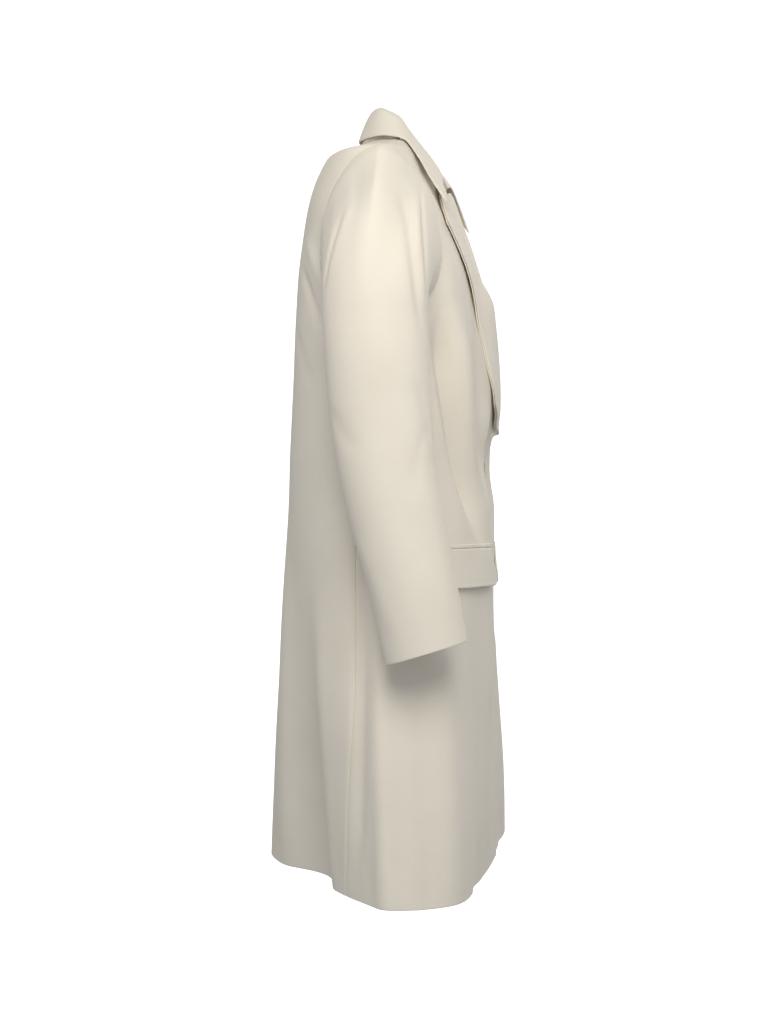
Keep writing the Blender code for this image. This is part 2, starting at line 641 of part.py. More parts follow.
def make_pocket(side):
    """The welt and, hanging from under it, the flap with its lower corners rounded."""
    name = SIDES[side][0]
    past = np.linspace(FLAP_FRONT - FLAP_WIDTH, FLAP_FRONT, 11)
    drop = np.linspace(0, 1, 6)
    past, drop = np.meshgrid(past, drop)
    from_end = np.minimum(past - past.min(), past.max() - past)
    inset = 1 - np.clip(from_end / FLAP_CORNER, 0, 1)
    rounded = FLAP_CORNER * (1 - np.sqrt(1 - inset**2))
    z = FLAP_TOP_Z - drop * (FLAP_DEPTH - rounded)
    base = front_lift(side, past, z) + (CLOTH + DOUBLED_CLOTH) / 2 + SEAM + FLAP_STAND
    lift = base + FLAP_KICK * drop**1.5
    at = at_past_centre(past, z)
    half = DOUBLED_CLOTH / 2
    grid_wall(f"flap_{name}", on_body(side, at, z, lift + half), on_body(side, at, z, lift - half), WOOL)
    past = np.linspace(FLAP_FRONT - FLAP_WIDTH - WELT_PAST_FLAP, FLAP_FRONT + WELT_PAST_FLAP, 11)
    past, z = np.meshgrid(past, FLAP_TOP_Z + SEAM + np.linspace(WELT_DEPTH, 0, 3))
    lift = front_lift(side, past, z) + CLOTH / 2 + 2.4 * SEAM
    at = at_past_centre(past, z)
    grid_wall(f"welt_{name}", on_body(side, at, z, lift + WELT_THICKNESS), on_body(side, at, z, lift), WOOL)


def make_button():
    """A turned button with a sunk middle and four thread holes, on the right front."""
    lift = float(front_lift(RIGHT, np.array(0.0), np.array(BUTTON_Z)))
    seat = on_body(RIGHT, 1.0, BUTTON_Z, lift + CLOTH / 2 + 3 * SEAM + BUTTON_THICKNESS / 2)
    normal = on_body(RIGHT, 1.0, BUTTON_Z, 1.0) - on_body(RIGHT, 1.0, BUTTON_Z, 0.0)
    profile = ((0.0, 0.5), (0.60, 0.5), (0.88, 0.5), (1.0, 0.25), (1.0, -0.3), (0.92, -0.5), (0.0, -0.5))
    mesh = bmesh.new()
    ring = [mesh.verts.new((r * BUTTON_RADIUS, 0, h * BUTTON_THICKNESS)) for r, h in profile]
    edges = [mesh.edges.new(pair) for pair in zip(ring, ring[1:])]
    bmesh.ops.spin(mesh, geom=ring + edges, axis=(0, 0, 1), cent=(0, 0, 0), steps=24, angle=2 * math.pi)
    bmesh.ops.remove_doubles(mesh, verts=mesh.verts, dist=1e-6)
    bmesh.ops.recalc_face_normals(mesh, faces=mesh.faces)
    data = bpy.data.meshes.new("button")
    mesh.to_mesh(data)
    mesh.free()
    data.shade_smooth()
    data.set_sharp_from_angle(angle=math.radians(35))
    button = add_object("button", data, HORN)
    button.location = seat
    button.rotation_euler = (math.pi / 2 - math.asin(normal[2] / np.linalg.norm(normal)), 0, 0)
    holes = bpy.data.collections["cutters"]
    for turn in range(THREAD_HOLES):
        angle = 2 * math.pi * (turn + 0.5) / THREAD_HOLES
        bpy.ops.mesh.primitive_cylinder_add(
            vertices=8,
            radius=THREAD_HOLE_RADIUS,
            depth=5 * BUTTON_THICKNESS,
            location=(THREAD_HOLE_CIRCLE * math.cos(angle), THREAD_HOLE_CIRCLE * math.sin(angle), 0),
        )
        hole = bpy.context.object
        hole.name = f"thread_hole_{turn + 1}"
        for owner in list(hole.users_collection):
            owner.objects.unlink(hole)
        holes.objects.link(hole)
        hole.parent = button
        hole.hide_render = True
        hole.display_type = "WIRE"
        cut = button.modifiers.new(hole.name, "BOOLEAN")
        cut.operation = "DIFFERENCE"
        cut.object = hole


def main():
    for obj in list(bpy.data.objects):
        bpy.data.objects.remove(obj)
    for name in ("overcoat", "cutters"):
        bpy.context.scene.collection.children.link(bpy.data.collections.new(name))
    for side in SIDES:
        make_back(side)
        make_front(side)
        make_facing(side)
        make_sleeve(side)
        make_pocket(side)
    make_collar()
    make_button()


main()
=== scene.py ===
"""The look of a long ivory wool overcoat, filled out as if worn.

Every panel is a thin wall of cloth on one of three skins: the right half of the body, its left
half, or a sleeve. The skins carry the drape and the creases, so what lies on a panel follows them.
Units are metres, +Z is up, the coat faces -Y and the wearer's left is +X.
"""

import math
from functools import partial

import bpy
import numpy as np
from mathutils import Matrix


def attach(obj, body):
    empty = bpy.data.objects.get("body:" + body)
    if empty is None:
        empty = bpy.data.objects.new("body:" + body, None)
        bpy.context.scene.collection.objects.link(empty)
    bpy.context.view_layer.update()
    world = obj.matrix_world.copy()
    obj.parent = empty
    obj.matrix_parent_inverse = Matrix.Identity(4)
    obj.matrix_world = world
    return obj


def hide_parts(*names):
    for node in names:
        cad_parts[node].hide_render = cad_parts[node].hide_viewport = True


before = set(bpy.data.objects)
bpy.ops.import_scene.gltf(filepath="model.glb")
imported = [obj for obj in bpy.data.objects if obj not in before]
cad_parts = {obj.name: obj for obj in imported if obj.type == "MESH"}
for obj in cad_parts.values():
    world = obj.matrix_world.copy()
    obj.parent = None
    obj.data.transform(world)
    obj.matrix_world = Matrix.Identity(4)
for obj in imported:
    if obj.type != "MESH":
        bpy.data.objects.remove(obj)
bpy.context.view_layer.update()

CLOTH = 0.0018
DOUBLED_CLOTH = 0.0026
SEAM = 0.0003
SEWN_GAP = 0.00004
MM = 0.001

HEM_Z = -0.960
BREAK_Z = -0.385
GORGE_Z = -0.050
SHOULDER_END_Z = -0.034
BACK_NECK_Z = 0.008
ARMHOLE_BOTTOM_Z = -0.240
SHOULDER_LINE_Y = -0.005

LOWER_FRONT_LIFT = 0.0026
UPPER_FRONT_LIFT = 0.0155
ROLL_RADIUS = 0.0023
FACING_OFFSET = 0.0023
FACING_INSIDE = 0.022
FACING_INSIDE_DROP = 0.0022

SLEEVE_SEAT = 0.0027
CROWN_SEAT = 0.0012
SLEEVE_HEAD_REACH = 0.034
LEFT_SLEEVE_BACK = 0.028
UPPER_ARM_Z = -0.250
CUFF_Z = -0.655

FLAP_TOP_Z = -0.5335
FLAP_DEPTH = 0.050
FLAP_WIDTH = 0.152
FLAP_FRONT = -0.060
WELT_DEPTH = 0.0050
WELT_THICKNESS = 0.0022
WELT_PAST_FLAP = 0.004
FLAP_CORNER = 0.010
FLAP_STAND = 0.0005
FLAP_KICK = 0.0028
BUTTON_Z = -0.430
BUTTON_RADIUS = 0.0125
BUTTON_THICKNESS = 0.0038
THREAD_HOLES = 4
THREAD_HOLE_RADIUS = 0.0011
THREAD_HOLE_CIRCLE = 0.0033

# A table that is read by height names its columns in its first row.
# The body's level sections, from the hem to the neck.
SECTIONS = (
    ("z", "half_width", "back_y", "front_y", "side_y", "back_square", "front_square"),
    (-0.97, 0.281, 0.188, -0.116, -0.03, 1.3, 3.8),
    (-0.86, 0.263, 0.183, -0.119, -0.024, 1.45, 3.5),
    (-0.75, 0.243, 0.176, -0.117, -0.017, 1.65, 3.2),
    (-0.62, 0.219, 0.166, -0.114, -0.01, 1.9, 2.9),
    (-0.53, 0.205, 0.16, -0.115, -0.006, 2.1, 2.8),
    (-0.425, 0.194, 0.152, -0.1, -0.003, 2.3, 3.1),
    (-0.32, 0.193, 0.144, -0.105, 0, 2.5, 3.3),
    (-0.235, 0.196, 0.139, -0.101, 0, 2.6, 3.5),
    (-0.18, 0.202, 0.135, -0.0935, 0, 2.6, 3.4),
    (-0.13, 0.208, 0.129, -0.0785, 0, 2.5, 3.2),
    (-0.09, 0.217, 0.122, -0.061, -0.002, 2.4, 2.9),
    (-0.06, 0.22, 0.113, -0.047, -0.004, 2.3, 2.4),
    (-0.045, 0.22, 0.106, -0.038, -0.005, 2.25, 2.3),
    (-0.034, 0.215, 0.101, -0.033, -0.005, 2.2, 2.2),
    (-0.024, 0.174, 0.097, -0.03, -0.005, 2.2, 2.2),
    (-0.014, 0.13, 0.093, -0.028, -0.005, 2.1, 2.1),
    (-0.005, 0.104, 0.09, -0.026, -0.005, 2.05, 2),
    (0.004, 0.08, 0.07, -0.023, -0.005, 2, 2),
    (0.012, 0.068, 0.047, -0.02, -0.005, 2, 2),
)

# Drape: a fold's top and bottom height; its middle, as a fraction of the half girth, at its top and
# its bottom; its half width; and how far it stands out there (or sinks in, if negative).
FOLDS = (
    (-0.42, -0.97, 0.25, 0.225, 0.08, 0, -0.047),
    (-0.56, -0.97, 0.54, 0.52, 0.04, 0, 0.01),
    (-0.56, -0.97, 0.7, 0.69, 0.05, 0, 0.006),
    (-0.19, -0.56, 0.64, 0.83, 0.03, -0.006, -0.001),
    (-0.2, -0.52, 0.73, 0.88, 0.03, 0.004, 0.004),
)

ARMHOLE = (
    ("z", "back_y", "front_y"),
    (-0.24, 0.002, -0.004), (-0.236, 0.026, -0.028), (-0.226, 0.045, -0.046),
    (-0.205, 0.063, -0.062), (-0.17, 0.073, -0.069), (-0.13, 0.073, -0.063),
    (-0.09, 0.061, -0.052), (-0.06, 0.04, -0.036), (-0.045, 0.023, -0.022),
    (-0.034, -0.005, -0.005),
)

SIDE_SEAM = (
    ("z", "at"),
    (-0.97, 0.395), (-0.85, 0.415), (-0.7, 0.445), (-0.53, 0.455), (-0.4, 0.48), (-0.24, 0.512),
)

# The roll line and the lapel, by height on the roll line: how far the line lies past centre front,
# the cloth turned back there, how far its outer edge drops, and the curl and stand of the fold.
LAPEL = (
    ("z", "past_centre", "turned", "drop", "curl", "stand"),
    (-0.385, 0.034, 0.004, 0, 0.2, 0),
    (-0.378, 0.033, 0.009, 0.001, 0.55, 0),
    (-0.368, 0.0313, 0.018, 0.002, 0.88, 0),
    (-0.355, 0.029, 0.035, 0.0045, 1, 0),
    (-0.33, 0.023, 0.063, 0.01, 1, 0),
    (-0.29, 0.014, 0.069, 0.015, 1, 0),
    (-0.24, 0.001, 0.062, 0.019, 1, 0),
    (-0.18, -0.016, 0.06, 0.027, 1, 0.0005),
    (-0.12, -0.036, 0.066, 0.04, 1, 0.0015),
    (-0.08, -0.05, 0.07, 0.052, 1, 0.0035),
    (-0.05, -0.059, 0.074, 0.066, 1, 0.006),
)

# The neck seam above the lapel, by height: distance from the centre plane.
NECK = (
    ("z", "x"),
    (-0.05, 0.059), (-0.036, 0.064), (-0.02, 0.068), (-0.006, 0.072), (0.004, 0.0765),
)

# The collar's sections from centre back to the gorge, in millimetres: x, y and z of its seam edge,
# of its roll and of its outer edge.
COLLAR = (
    (0, 53, 10, 0, 40, 57, 0, 62, 16),
    (24, 50, 10, 21, 37, 57, 29, 59, 13.5),
    (47, 41, 10, 38, 28, 56, 58, 43, 11.5),
    (63, 23, 10, 50, 14, 48.5, 79, 23, 10),
    (71.5, 2, 10, 56, -1, 39, 90, 4, 6.5),
    (73.5, -13, 6.5, 60, -13, 22, 96.5, -14, 0),
    (70, -27, -4, 62, -27, 3, 104, -34, -26),
    (65.5, -39, -21, 61, -42, -16, 114, -51.5, -56),
    (59, -48, -38.5, 59, -54.5, -34.5, 117, -72.5, -88),
)

# How far the collar's seam edge is let out and down at the back, to lie against the neck edge.
COLLAR_SEAT = np.array([0.0012, 0.0046, -0.0022])

# The sleeve's rings below the armhole: middle, half width, half depth, and rise towards the front.
SLEEVE = (
    ("z", "x", "y", "half_width", "half_depth", "rise"),
    (-0.25, 0.2585, -0.004, 0.054, 0.064, 0),
    (-0.29, 0.262, -0.007, 0.054, 0.063, 0.02),
    (-0.37, 0.265, -0.013, 0.05, 0.061, 0.06),
    (-0.43, 0.267, -0.02, 0.048, 0.058, 0.1),
    (-0.498, 0.269, -0.034, 0.046, 0.055, 0.16),
    (-0.584, 0.272, -0.055, 0.044, 0.05, 0.24),
    (-0.655, 0.274, -0.07, 0.043, 0.0475, 0.31),
)

# Creases of the body: side (R right, L left, B both), start and end on its surface (fraction of the
# half girth, height), and in millimetres how far the middle bows sideways, the half width, and the
# rise (a trough if negative).
CREASES = (
    # front drape from the lapel's break up to the armhole
    ("R", 0.655, -0.205, 0.87, -0.55, -22, 15, -19), ("R", 0.725, -0.215, 0.905, -0.5, -14, 15, 8),
    ("R", 0.605, -0.25, 0.79, -0.54, -12, 13, 3), ("R", 0.78, -0.25, 0.93, -0.42, -4, 8, -1.6),
    ("L", 0.66, -0.235, 0.855, -0.545, -14, 12, -8), ("L", 0.73, -0.23, 0.895, -0.49, -8, 13, 4.2),
    ("L", 0.6, -0.29, 0.7, -0.52, -6, 12, 1.4),
    # the fronts swell on either side of the button and are drawn in at it
    ("B", 0.905, -0.335, 0.905, -0.53, 0, 22, 9), ("R", 0.93, -0.47, 0.93, -0.8, 0, 50, 5),
    ("L", 0.8, -0.43, 0.8, -0.68, 0, 50, -7),
    # side seam and the fold in front of it
    ("R", 0.47, -0.48, 0.435, -0.96, 6, 12, -5.6), ("R", 0.522, -0.56, 0.528, -1.06, -10, 15, 7.5),
    ("R", 0.578, -0.62, 0.592, -1.06, 4, 18, -5.2), ("R", 0.655, -0.6, 0.66, -1.06, -6, 24, 4),
    ("R", 0.775, -0.62, 0.78, -1.06, 6, 26, -4), ("L", 0.47, -0.48, 0.445, -0.93, 8, 12, -5),
    ("L", 0.535, -0.56, 0.54, -1.06, -6, 16, 7), ("L", 0.6, -0.64, 0.61, -1.06, 4, 19, -5),
    ("L", 0.7, -0.59, 0.69, -1.06, -4, 26, 2.4), ("L", 0.82, -0.64, 0.81, -1.06, 6, 26, -2),
    # skirt of the back
    ("R", 0.12, -0.48, 0.11, -1.06, 4, 26, 5), ("R", 0.335, -0.56, 0.345, -1.06, -5, 22, 5),
    ("L", 0.13, -0.52, 0.125, -1.06, -4, 28, 3), ("L", 0.34, -0.54, 0.345, -1.06, 5, 20, 2.4),
    # upper back, drawn towards the armholes
    ("R", 0.255, -0.16, 0.385, -0.28, 6, 8, -3.4), ("R", 0.285, -0.13, 0.4, -0.225, 4, 11, 2.4),
    ("R", 0.2, -0.235, 0.33, -0.335, 6, 12, -1.4), ("L", 0.265, -0.15, 0.39, -0.255, 6, 8.5, -1.9),
    ("L", 0.22, -0.22, 0.35, -0.32, 8, 12, -1.3),
    # small dimples near the hem
    ("R", 0.53, -0.895, 0.548, -0.925, 0, 4, -1.2), ("R", 0.545, -0.838, 0.556, -0.866, 0, 4.5, -1),
    ("R", 0.612, -0.9, 0.622, -0.935, 0, 5, -0.9), ("R", 0.45, -0.85, 0.456, -0.89, 0, 5, -0.9),
    ("L", 0.56, -0.88, 0.575, -0.915, 0, 4.5, -1.1), ("L", 0.47, -0.845, 0.48, -0.885, 0, 5, -0.9),
)

# Creases of the sleeves, the same, but placed by the fraction round from the underarm over the back
# and by height: 0 armhole, 1 upper arm, 2 cuff.
SLEEVE_CREASES = (
    ("R", 0.395, 0.42, 0.315, 0.9, 0, 4.2, -3.6), ("R", 0.425, 0.38, 0.35, 0.86, 0, 8, 1.2),
    ("R", 0.52, 0.28, 0.7, 1.15, 6, 6.5, -3.4), ("R", 0.61, 0.2, 0.76, 1.05, 2, 6, -3),
    ("R", 0.565, 0.24, 0.725, 1.05, 4, 7.5, 2.6), ("R", 0.485, 0.45, 0.545, 1.05, 0, 14, -2.6),
    ("R", 0.64, 1.18, 0.72, 1.42, 3, 7, -1.6), ("R", 0.69, 1.33, 0.6, 1.56, -4, 8, -1.4),
    ("R", 0.3, 1.25, 0.42, 1.42, 4, 10, -1.2), ("R", 0.56, 1.55, 0.64, 1.86, 3, 12, -1.2),
    ("R", 0.35, 1.62, 0.42, 1.95, -3, 12, 1), ("L", 0.385, 0.45, 0.31, 0.88, 0, 5, -2),
    ("L", 0.54, 0.28, 0.7, 1.08, 6, 6.5, -1.6), ("L", 0.62, 0.26, 0.75, 0.98, 2, 6, -1.4),
    ("L", 0.66, 1.2, 0.73, 1.45, 3, 7.5, -1.7), ("L", 0.7, 1.38, 0.61, 1.6, -4, 8, -1.3),
    ("L", 0.32, 1.2, 0.43, 1.4, 4, 10, -1.3), ("L", 0.54, 1.6, 0.62, 1.88, 3, 12, -1.2),
)

SKIRT_ROWS = (
    -0.96, -0.915, -0.87, -0.82, -0.77, -0.72, -0.67, -0.62,
    -0.57, -0.52, -0.48, -0.445, -0.415, -0.4, -0.385,
)
ARMHOLE_ROWS = (-0.24, -0.236, -0.226, -0.205, -0.18, -0.155, -0.13, -0.105, -0.08, -0.06, -0.05)
SHOULDER_ROWS = (-0.042, -0.038, -0.034, -0.025, -0.016, -0.008, -0.001, 0.004)
BACK_ROWS = SKIRT_ROWS + (-0.345, -0.3, -0.27) + ARMHOLE_ROWS + SHOULDER_ROWS + (BACK_NECK_Z,)
LAPEL_ROWS = (-0.378, -0.37, -0.36, -0.345, -0.325, -0.3, -0.27)
FRONT_ROWS = SKIRT_ROWS + LAPEL_ROWS + ARMHOLE_ROWS + SHOULDER_ROWS
BACK_STEPS = 76
FRONT_STEPS = 84
FACING_STEPS = 6
LAPEL_TURN_STEPS = 8
LAPEL_FLAT_STEPS = 24
COLLAR_STEPS = 110
STAND_STEPS = 14
FALL_STEPS = 18
FLAP_STEPS = (50, 17)
WELT_STEPS = (50, 5)
SLEEVE_ROWS = np.linspace(0, 2, 33)
TOP_SLEEVE_STEPS = 56
UNDER_SLEEVE_STEPS = 34

# The smooth forms that the panels are read from, finer than any panel.
SKIN_COLUMNS = 361
SKIN_STEP = 0.0025
SHOULDER_SKIN_STEP = 0.0005
SKIN_BOTTOM_Z = -0.970
NECK_TOP_Z = 0.012
ARMHOLE_SKIN_STEPS = 160
SLEEVE_SKIN_STEPS = 240
CAP_SKIN_STEPS = 48
ARM_SKIN_STEPS = 80

# Cloth: the largest step along it, and where its extra rows lie near an edge, to round it.
WEAVE_STEP = 0.0042
EDGE_STEPS = (0.04, 0.14, 0.32)
NARROWEST_PANEL = 0.006

# Seams, hems and pressed edges: how deep, how high and how wide their small marks are.
SEAM_DEPTH = 0.0005
SEAM_WIDTH = 0.0020
SEAM_RIDGE = 0.00022
SLEEVE_SEAM_SHARE = 0.8
SLEEVE_HEAD_SHARE = 1.6
SLEEVE_HEAD_RIDGE = 0.0014
SLEEVE_HEAD_RIDGE_IN = 0.009
SLEEVE_HEAD_RIDGE_WIDTH = 0.006
HEM_TURN = 0.030
HEM_FULLNESS = 0.0006
HEM_FADE = 0.006
HEM_GROOVE = 0.00022
HEM_GROOVE_WIDTH = 0.0022
HEM_PULL = 0.00016
HEM_PULL_REACH = 0.014
PRESSED_WIDTH = 0.006
FLAP_PRESS = 0.0055
FLAP_GROOVE = 0.0004
FLAP_GROOVE_WIDTH = 0.0012

# Unevenness: the share of a crease that fades at either end, a wave along the lapel's edge, and
# slow waves of the whole cloth (across, along, phase).
CREASE_FADE = 0.3
LAPEL_WAVE = 0.0006
WANDER = 0.00035
WANDER_WAVES = ((38, 9, 0.7), (23, -14, 2.1), (61, 21, 4.4), (12, 30, 1.2), (95, -6, 5.3))

UNDER_SLEEVE_FROM = -0.165
UNDER_SLEEVE_TO = 0.205
SLEEVE_GIRTH = 0.35
SLEEVE_LENGTH = 0.40
FLAP_SLANT = 0.012

# Where each piece's weave starts, so that no two pieces show the same stretch of it.
BACK_CUT, FRONT_CUT, FACING_CUT, COLLAR_CUT = 1.0, 3.0, 5.0, 7.0
SLEEVE_CUT, FLAP_CUT, WELT_CUT = 9.0, 13.0, 15.0

# Below its break the front's edge runs straight down, as a lapel that is hardly turned.
LAPEL_AND_EDGE = (
    *LAPEL,
    (-0.98, 0.034, 0.006, 0, 0.02, 0),
    (-0.405, 0.034, 0.006, 0, 0.02, 0),
)

# The turned button: its profile as shares of its radius and thickness, and its sewing thread.
BUTTON_PROFILE = (
    (0, 0.22), (0.56, 0.22), (0.64, 0.26), (0.72, 0.46), (0.82, 0.5), (0.92, 0.44), (0.985, 0.24),
    (1, 0), (0.97, -0.24), (0.86, -0.42), (0.7, -0.5), (0, -0.5),
)
THREAD_POINTS = 11
THREAD_RADIUS = 0.00042
THREAD_RISE = 0.0011
THREAD_DIVE = 0.0022
THREAD_OVER = 0.0005

WOOL_DARKER = "#E4DDCF"
WOOL_LIGHTER = "#EDE7DB"
WOOL_NAP = "#FFF8EA"
TWILL_PITCH = 0.0011

CAMERA_PLACE = (-2.1666, -0.3520, -0.487)
CAMERA_TURN = -80
CAMERA_LENS = 56.46
BACKDROP_RADIUS = 7.0
BACKDROP_Z = -0.5
AIR_STRENGTH = 0.34
# Lights: name, place, what it points at, width, power and colour
STUDIO_LIGHTS = (
    ("key", (-1.55, -0.35, 0.50), (-0.2, 0.0, -0.12), 1.1, 19, "#FFFAF1"),
    ("fill", (-1.5, -2.3, 0.1), (0.0, 0.0, -0.4), 1.6, 9, "#FFFFFF"),
    ("back_fill", (-1.3, 2.3, 0.1), (0.0, 0.0, -0.4), 1.6, 10, "#FFFFFF"),
    ("far_side", (2.4, -1.2, 0.9), (0.0, 0.0, -0.4), 1.6, 26, "#FFFFFF"),
)

RIGHT, LEFT = 0, 1
SIDES = {RIGHT: ("right", -1.0), LEFT: ("left", 1.0)}


def eased(at, knots, values):
    """A smooth curve through the table's values that never overshoots them."""
    knots, values = np.asarray(knots, float), np.asarray(values, float)
    steps = np.diff(knots)
    slopes = np.diff(values) / steps
    bends = np.zeros_like(values)
    bends[0], bends[-1] = slopes[0], slopes[-1]
    agree = slopes[:-1] * slopes[1:] > 0
    before, after = slopes[:-1][agree], slopes[1:][agree]
    bends[1:-1][agree] = 2 * before * after / (before + after)
    at = np.clip(np.asarray(at, float), knots[0], knots[-1])
    cell = np.clip(np.searchsorted(knots, at, side="right") - 1, 0, len(steps) - 1)
    step = steps[cell]
    t = (at - knots[cell]) / step
    start = (1 + 2 * t) * (1 - t) ** 2 * values[cell] + t * (1 - t) ** 2 * step * bends[cell]
    end = t * t * (3 - 2 * t) * values[cell + 1] + t * t * (t - 1) * step * bends[cell + 1]
    return start + end


def read(table, name, at):
    """One named column of a table, at a height from its first column."""
    rows, column = sorted(table[1:]), table[0].index(name)
    return eased(at, [row[0] for row in rows], [row[column] for row in rows])


def read_all(table, at):
    """Each column of a table but the first, at one height."""
    return [float(read(table, name, at)) for name in table[0][1:]]


def unit(vectors):
    return vectors / np.linalg.norm(vectors, axis=-1, keepdims=True)


def steps_of(points, axis=0):
    """The distances between neighbouring points along one axis of a grid."""
    return np.linalg.norm(np.diff(points, axis=axis), axis=-1)


def smooth_step(x):
    x = np.clip(x, 0.0, 1.0)
    return x * x * (3 - 2 * x)


class Skin:
    """A grid of points and outward normals, read between its points."""

    def __init__(self, heights, points, normals):
        self.heights = np.asarray(heights)
        self.points = points
        self.normals = normals
        self.across = points.shape[1] - 1

    def read(self, grid, at, height):
        row = np.interp(height, self.heights, np.arange(len(self.heights)))
        column = np.clip(at, 0.0, 1.0) * self.across
        i = np.minimum(row.astype(int), len(self.heights) - 2)
        j = np.minimum(column.astype(int), self.across - 1)
        s, t = (row - i)[..., None], (column - j)[..., None]
        low = grid[i, j] * (1 - t) + grid[i, j + 1] * t
        high = grid[i + 1, j] * (1 - t) + grid[i + 1, j + 1] * t
        return low * (1 - s) + high * s

    def place(self, at, height, lift):
        normal = unit(self.read(self.normals, at, height))
        return self.read(self.points, at, height) + normal * np.asarray(lift)[..., None]


def normals_of(points, outward):
    """Unit normals of a grid, all on the side that the given outward vectors point to."""
    along, across = np.gradient(points, axis=(0, 1))
    normals = unit(np.cross(along, across))
    return normals * np.sign(np.sum(normals * outward))


def level_section(z):
    """The right half of the level section at one height, from centre back to centre front."""
    width, back, front, side, back_square, front_square = read_all(SECTIONS, z)
    angle = np.linspace(0, math.pi, 721)
    sine, cosine = np.sin(angle), np.cos(angle)
    square = np.where(cosine > 0, back_square, front_square)
    reach = np.where(cosine > 0, back - side, front - side)
    across, deep = sine ** (2 / square), np.abs(cosine) ** (2 / square)
    outline = np.stack([-width * across, side + reach * deep], -1)
    return even_spaced(drape(even_spaced(outline), z))


def even_spaced(outline):
    length = np.r_[0, np.cumsum(steps_of(outline))]
    at = np.linspace(0, length[-1], SKIN_COLUMNS)
    return np.stack([np.interp(at, length, outline[:, k]) for k in (0, 1)], -1)


def drape(outline, z):
    """The section with its folds raised and sunk along its own normals."""
    at = np.linspace(0, 1, len(outline))
    girth = steps_of(outline).sum()
    rise = np.zeros(len(outline))
    for top_z, bottom_z, top_at, bottom_at, half_width, top_rise, bottom_rise in FOLDS:
        down = (top_z - z) / (top_z - bottom_z)
        if not -0.25 < down < 1.25:
            continue
        fade = smooth_step((down + 0.25) / 0.25) * smooth_step((1.25 - down) / 0.25)
        down = min(max(down, 0.0), 1.0)
        middle = top_at + (bottom_at - top_at) * down
        height = top_rise + (bottom_rise - top_rise) * down
        rise += height * fade * np.exp(-(((at - middle) * girth / half_width) ** 2))
    rise *= np.sin(math.pi * at) ** 0.5
    along = unit(np.gradient(outline, axis=0))
    return outline + np.stack([along[:, 1], -along[:, 0]], -1) * rise[:, None]


def crease_rise(creases, side, across, along, width, length=1.0):
    """How far the creases lift a surface whose points are given by their two coordinates. Width
    turns the first one into metres, and length the second."""
    rise = np.zeros_like(across)
    for which, at, z, to_at, to_z, bow, half_width, height in creases:
        if which not in ("B", "RL"[side]):
            continue
        t = np.clip((along - z) / (to_z - z), 0, 1)
        middle = at + (to_at - at) * t
        off = (across - middle) * width - bow * MM * 4 * t * (1 - t)
        slant = np.hypot(1, (to_at - at) * np.mean(width) / abs(to_z - z) / length)
        started, left = (along - z) / (to_z - z), (to_z - along) / (to_z - z)
        fade = smooth_step(started / CREASE_FADE) * smooth_step(left / CREASE_FADE)
        rise += height * MM * fade * np.exp(-((off / slant / (half_width * MM)) ** 2))
    return rise


def wander(across, along, phase):
    """The slow unevenness of hanging cloth, from distances in metres."""
    total = sum(
        np.sin(a * across + b * along + c + phase * (1 + i)) / (1 + i)
        for i, (a, b, c) in enumerate(WANDER_WAVES)
    )
    return total * WANDER


def body_skins():
    """The right and the left half of the body, alike but for their creases."""
    low = np.arange(SKIN_BOTTOM_Z, GORGE_Z - 1e-4, SKIN_STEP)
    heights = np.r_[low, np.arange(GORGE_Z, NECK_TOP_Z + 1e-4, SHOULDER_SKIN_STEP)]
    right = np.stack([np.c_[level_section(z), np.full(SKIN_COLUMNS, z)] for z in heights])
    axis = np.stack([0 * heights, read(SECTIONS, "side_y", heights), heights], -1)
    normals = normals_of(right, right - axis[:, None])
    normals[:, (0, -1), 0] = 0
    mirror = np.array([-1.0, 1.0, 1.0])
    girth = steps_of(right, axis=1).sum(axis=1)[:, None]
    at, z = np.meshgrid(np.linspace(0, 1, SKIN_COLUMNS), heights)
    skins = []
    for side, turn in ((RIGHT, 1.0), (LEFT, mirror)):
        rise = crease_rise(CREASES, side, at, z, girth) + wander(at * girth, z, 1.7 * side)
        # nothing at the centre back, the centre front and the shoulders
        rise *= smooth_step(at / 0.04) * smooth_step((1 - at) / 0.05)
        rise *= smooth_step((-0.06 - z) / 0.05)
        skins.append(Skin(heights, (right + normals * rise[..., None]) * turn, normals * turn))
    return tuple(skins)


BODY = body_skins()


def on_body(side, at, z, lift):
    """A place on the body; past centre front (at over 1) it goes on round the other side."""
    at, z, lift = np.broadcast_arrays(*(np.asarray(v, float) for v in (at, z, lift)))
    own = BODY[side].place(np.clip(at, 0, 1), z, lift)
    other = BODY[1 - side].place(np.clip(2 - at, 0, 1), z, lift)
    return np.where((at > 1)[..., None], other, own)


def body_ring(fractions, z):
    return BODY[RIGHT].read(BODY[RIGHT].points, fractions, np.full(len(fractions), z))


def half_girth(z):
    lengths = steps_of(BODY[RIGHT].points, axis=1).sum(axis=1)
    return np.interp(z, BODY[RIGHT].heights, lengths)


def at_past_centre(past, z):
    """The fraction of the half girth that lies a distance past centre front."""
    return 1 + past / half_girth(z)


def at_depth(y, z):
    """The fraction of the half girth where the section at this height has this depth."""
    y, z = np.broadcast_arrays(np.asarray(y, float), np.asarray(z, float))
    fractions = np.linspace(0, 1, SKIN_COLUMNS)
    found = np.empty(y.shape)
    for index in np.ndindex(y.shape):
        depths = body_ring(fractions, z[index])[:, 1]
        found[index] = np.interp(-y[index], np.maximum.accumulate(-depths), fractions)
    return found


def neck_edge(z):
    """The fraction of the half girth at the neck seam, above the lapel."""
    width = read(SECTIONS, "half_width", z)
    x = np.minimum(read(NECK, "x", z), width * 0.985)
    fractions = np.linspace(0.5, 1, 200)
    across = body_ring(fractions, z)[:, 0]
    widest = np.argmin(across)
    return np.interp(-x, across[widest:], fractions[widest:])


